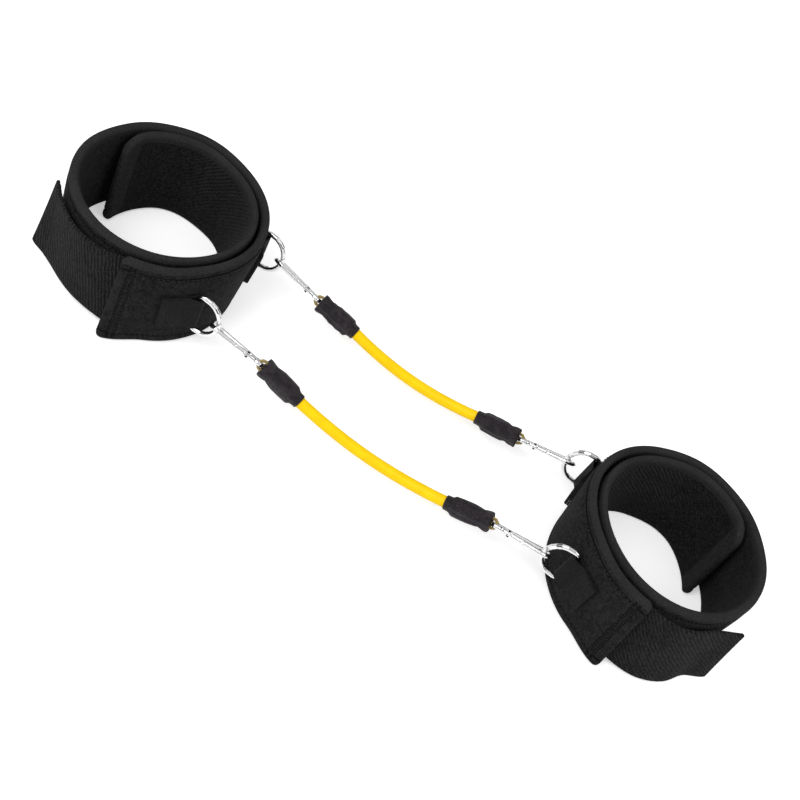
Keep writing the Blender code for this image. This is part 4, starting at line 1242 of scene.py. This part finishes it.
def finish_mesh(name, bm, sharp=SHARP_ANGLE):
    bmesh.ops.recalc_face_normals(bm, faces=bm.faces)
    if bm.calc_volume(signed=True) < 0:
        bmesh.ops.reverse_faces(bm, faces=bm.faces)
    mesh = bpy.data.meshes.new(name)
    bm.to_mesh(mesh)
    bm.free()
    mesh.shade_smooth()
    mesh.set_sharp_from_angle(angle=radians(sharp))
    return mesh


def add_piece(name, mesh, material):
    obj = add_object(name, mesh)
    obj.data.materials.append(material)
    return obj


def add_tube(band, material):
    points = tube_points(band)
    name = f"{band}_latex_tube"
    tube = add_piece(name, tube_mesh(name, points), material)
    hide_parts(f"{band}_tube")
    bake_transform(tube)


# Floor and light
def floor_look(nodes):
    """Light grey paper that glows for the camera, so that it looks white."""
    seen = nodes.rays("Camera", "Glossy", "Transmission")
    nodes.set(Base_Color=(FLOOR_SHADE, FLOOR_SHADE, FLOOR_SHADE, 1.0), Roughness=0.9)
    nodes.set(Emission_Color=WHITE, Emission_Strength=nodes.times(seen, FLOOR_GLOW))


def add_floor():
    bm = bmesh.new()
    bmesh.ops.create_grid(bm, x_segments=1, y_segments=1, size=FLOOR_SIZE)
    mesh = bpy.data.meshes.new("floor")
    bm.to_mesh(mesh)
    bm.free()
    floor = add_piece("floor", mesh, make_material("floor", floor_look))
    floor.location.z = FLOOR_HEIGHT


def add_world():
    """A white room; in reflections it has two dark bands, which line the metal."""
    nodes = Nodes(bpy.data.worlds.new("world"), "Background")
    split = nodes.add("ShaderNodeSeparateXYZ", {0: nodes.place("Generated")})
    stops = [(height, (level,) * 3) for height, level in REFLECTED_ROOM]
    glossy = nodes.maths("SUBTRACT", nodes.colours(split.outputs["Z"], stops), ROOM_LIGHT)
    strength = nodes.times(nodes.rays("Camera", "Transmission"), 1.0 - ROOM_LIGHT, ROOM_LIGHT)
    strength = nodes.times(nodes.rays("Glossy"), glossy, strength)
    nodes.set(Strength=strength, Color=WHITE)
    bpy.context.scene.world = nodes.owner


def add_light(name, place, size, power):
    data = bpy.data.lights.new(name, "AREA")
    data.shape = "DISK"
    data.size = size
    data.energy = power
    light = add_object(name, data)
    light.location = place
    light.rotation_euler = (-Vector(place)).to_track_quat("-Z", "Y").to_euler()


def add_fabric(frame):
    pad_looks = (("black_knit", knit_look), ("foam_edge", foam_look), ("ribbed_pile", lining_look))
    pad_materials = [make_material(*look) for look in pad_looks]
    pile = make_material("strap_pile", pile_look)
    tape = make_material("hook_rows", tape_look)
    webbing = make_material("webbing", webbing_look)
    thread = make_material("thread", thread_look)
    nylon = make_material("gathered_nylon", sleeve_look)
    cord = make_material("twisted_cord", cord_look)
    for side in (LEFT, RIGHT):
        add_pad(side, pad_materials)
        add_cuff_thread(side, thread)
        add_strap(side, pile)
        add_hook_tape(side, tape)
        add_strap_thread(side, thread)
        for i, band in enumerate(BANDS):
            add_tab(side, band, webbing)
            add_sleeve(frame, side, band, nylon, SLEEVE_SEED_STEP * i + side)
            add_cord_loop(frame, side, band, cord)


def main():
    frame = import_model()
    bpy.context.scene.view_settings.view_transform = "Standard"
    add_camera()
    latex = make_material("latex", latex_look)
    for band in TUBE_ENDS:
        add_tube(band, latex)
    add_fabric(frame)
    metals = {
        ("d_ring", "hook_body", "hook_gate"): make_material("chrome", chrome_look),
        # The rivets' near-black is painted shade: it stands in for the shade in the dimples at their ends
        ("gate_rivet",): make_material("rivet_painted_shade_steel", steel_look, 0.03),
        ("gate_spring",): make_material("spring_steel", steel_look, 0.55),
        ("ferrule",): make_material("turned_aluminium", steel_look, 0.60),
    }
    for endings, metal in metals.items():
        for name, node in frame["nodes"].items():
            if name.endswith(endings):
                node.data.materials[0] = metal
    add_floor()
    add_world()
    for name, (place, size, power) in LAMPS.items():
        add_light(name, place, size, power)


main()
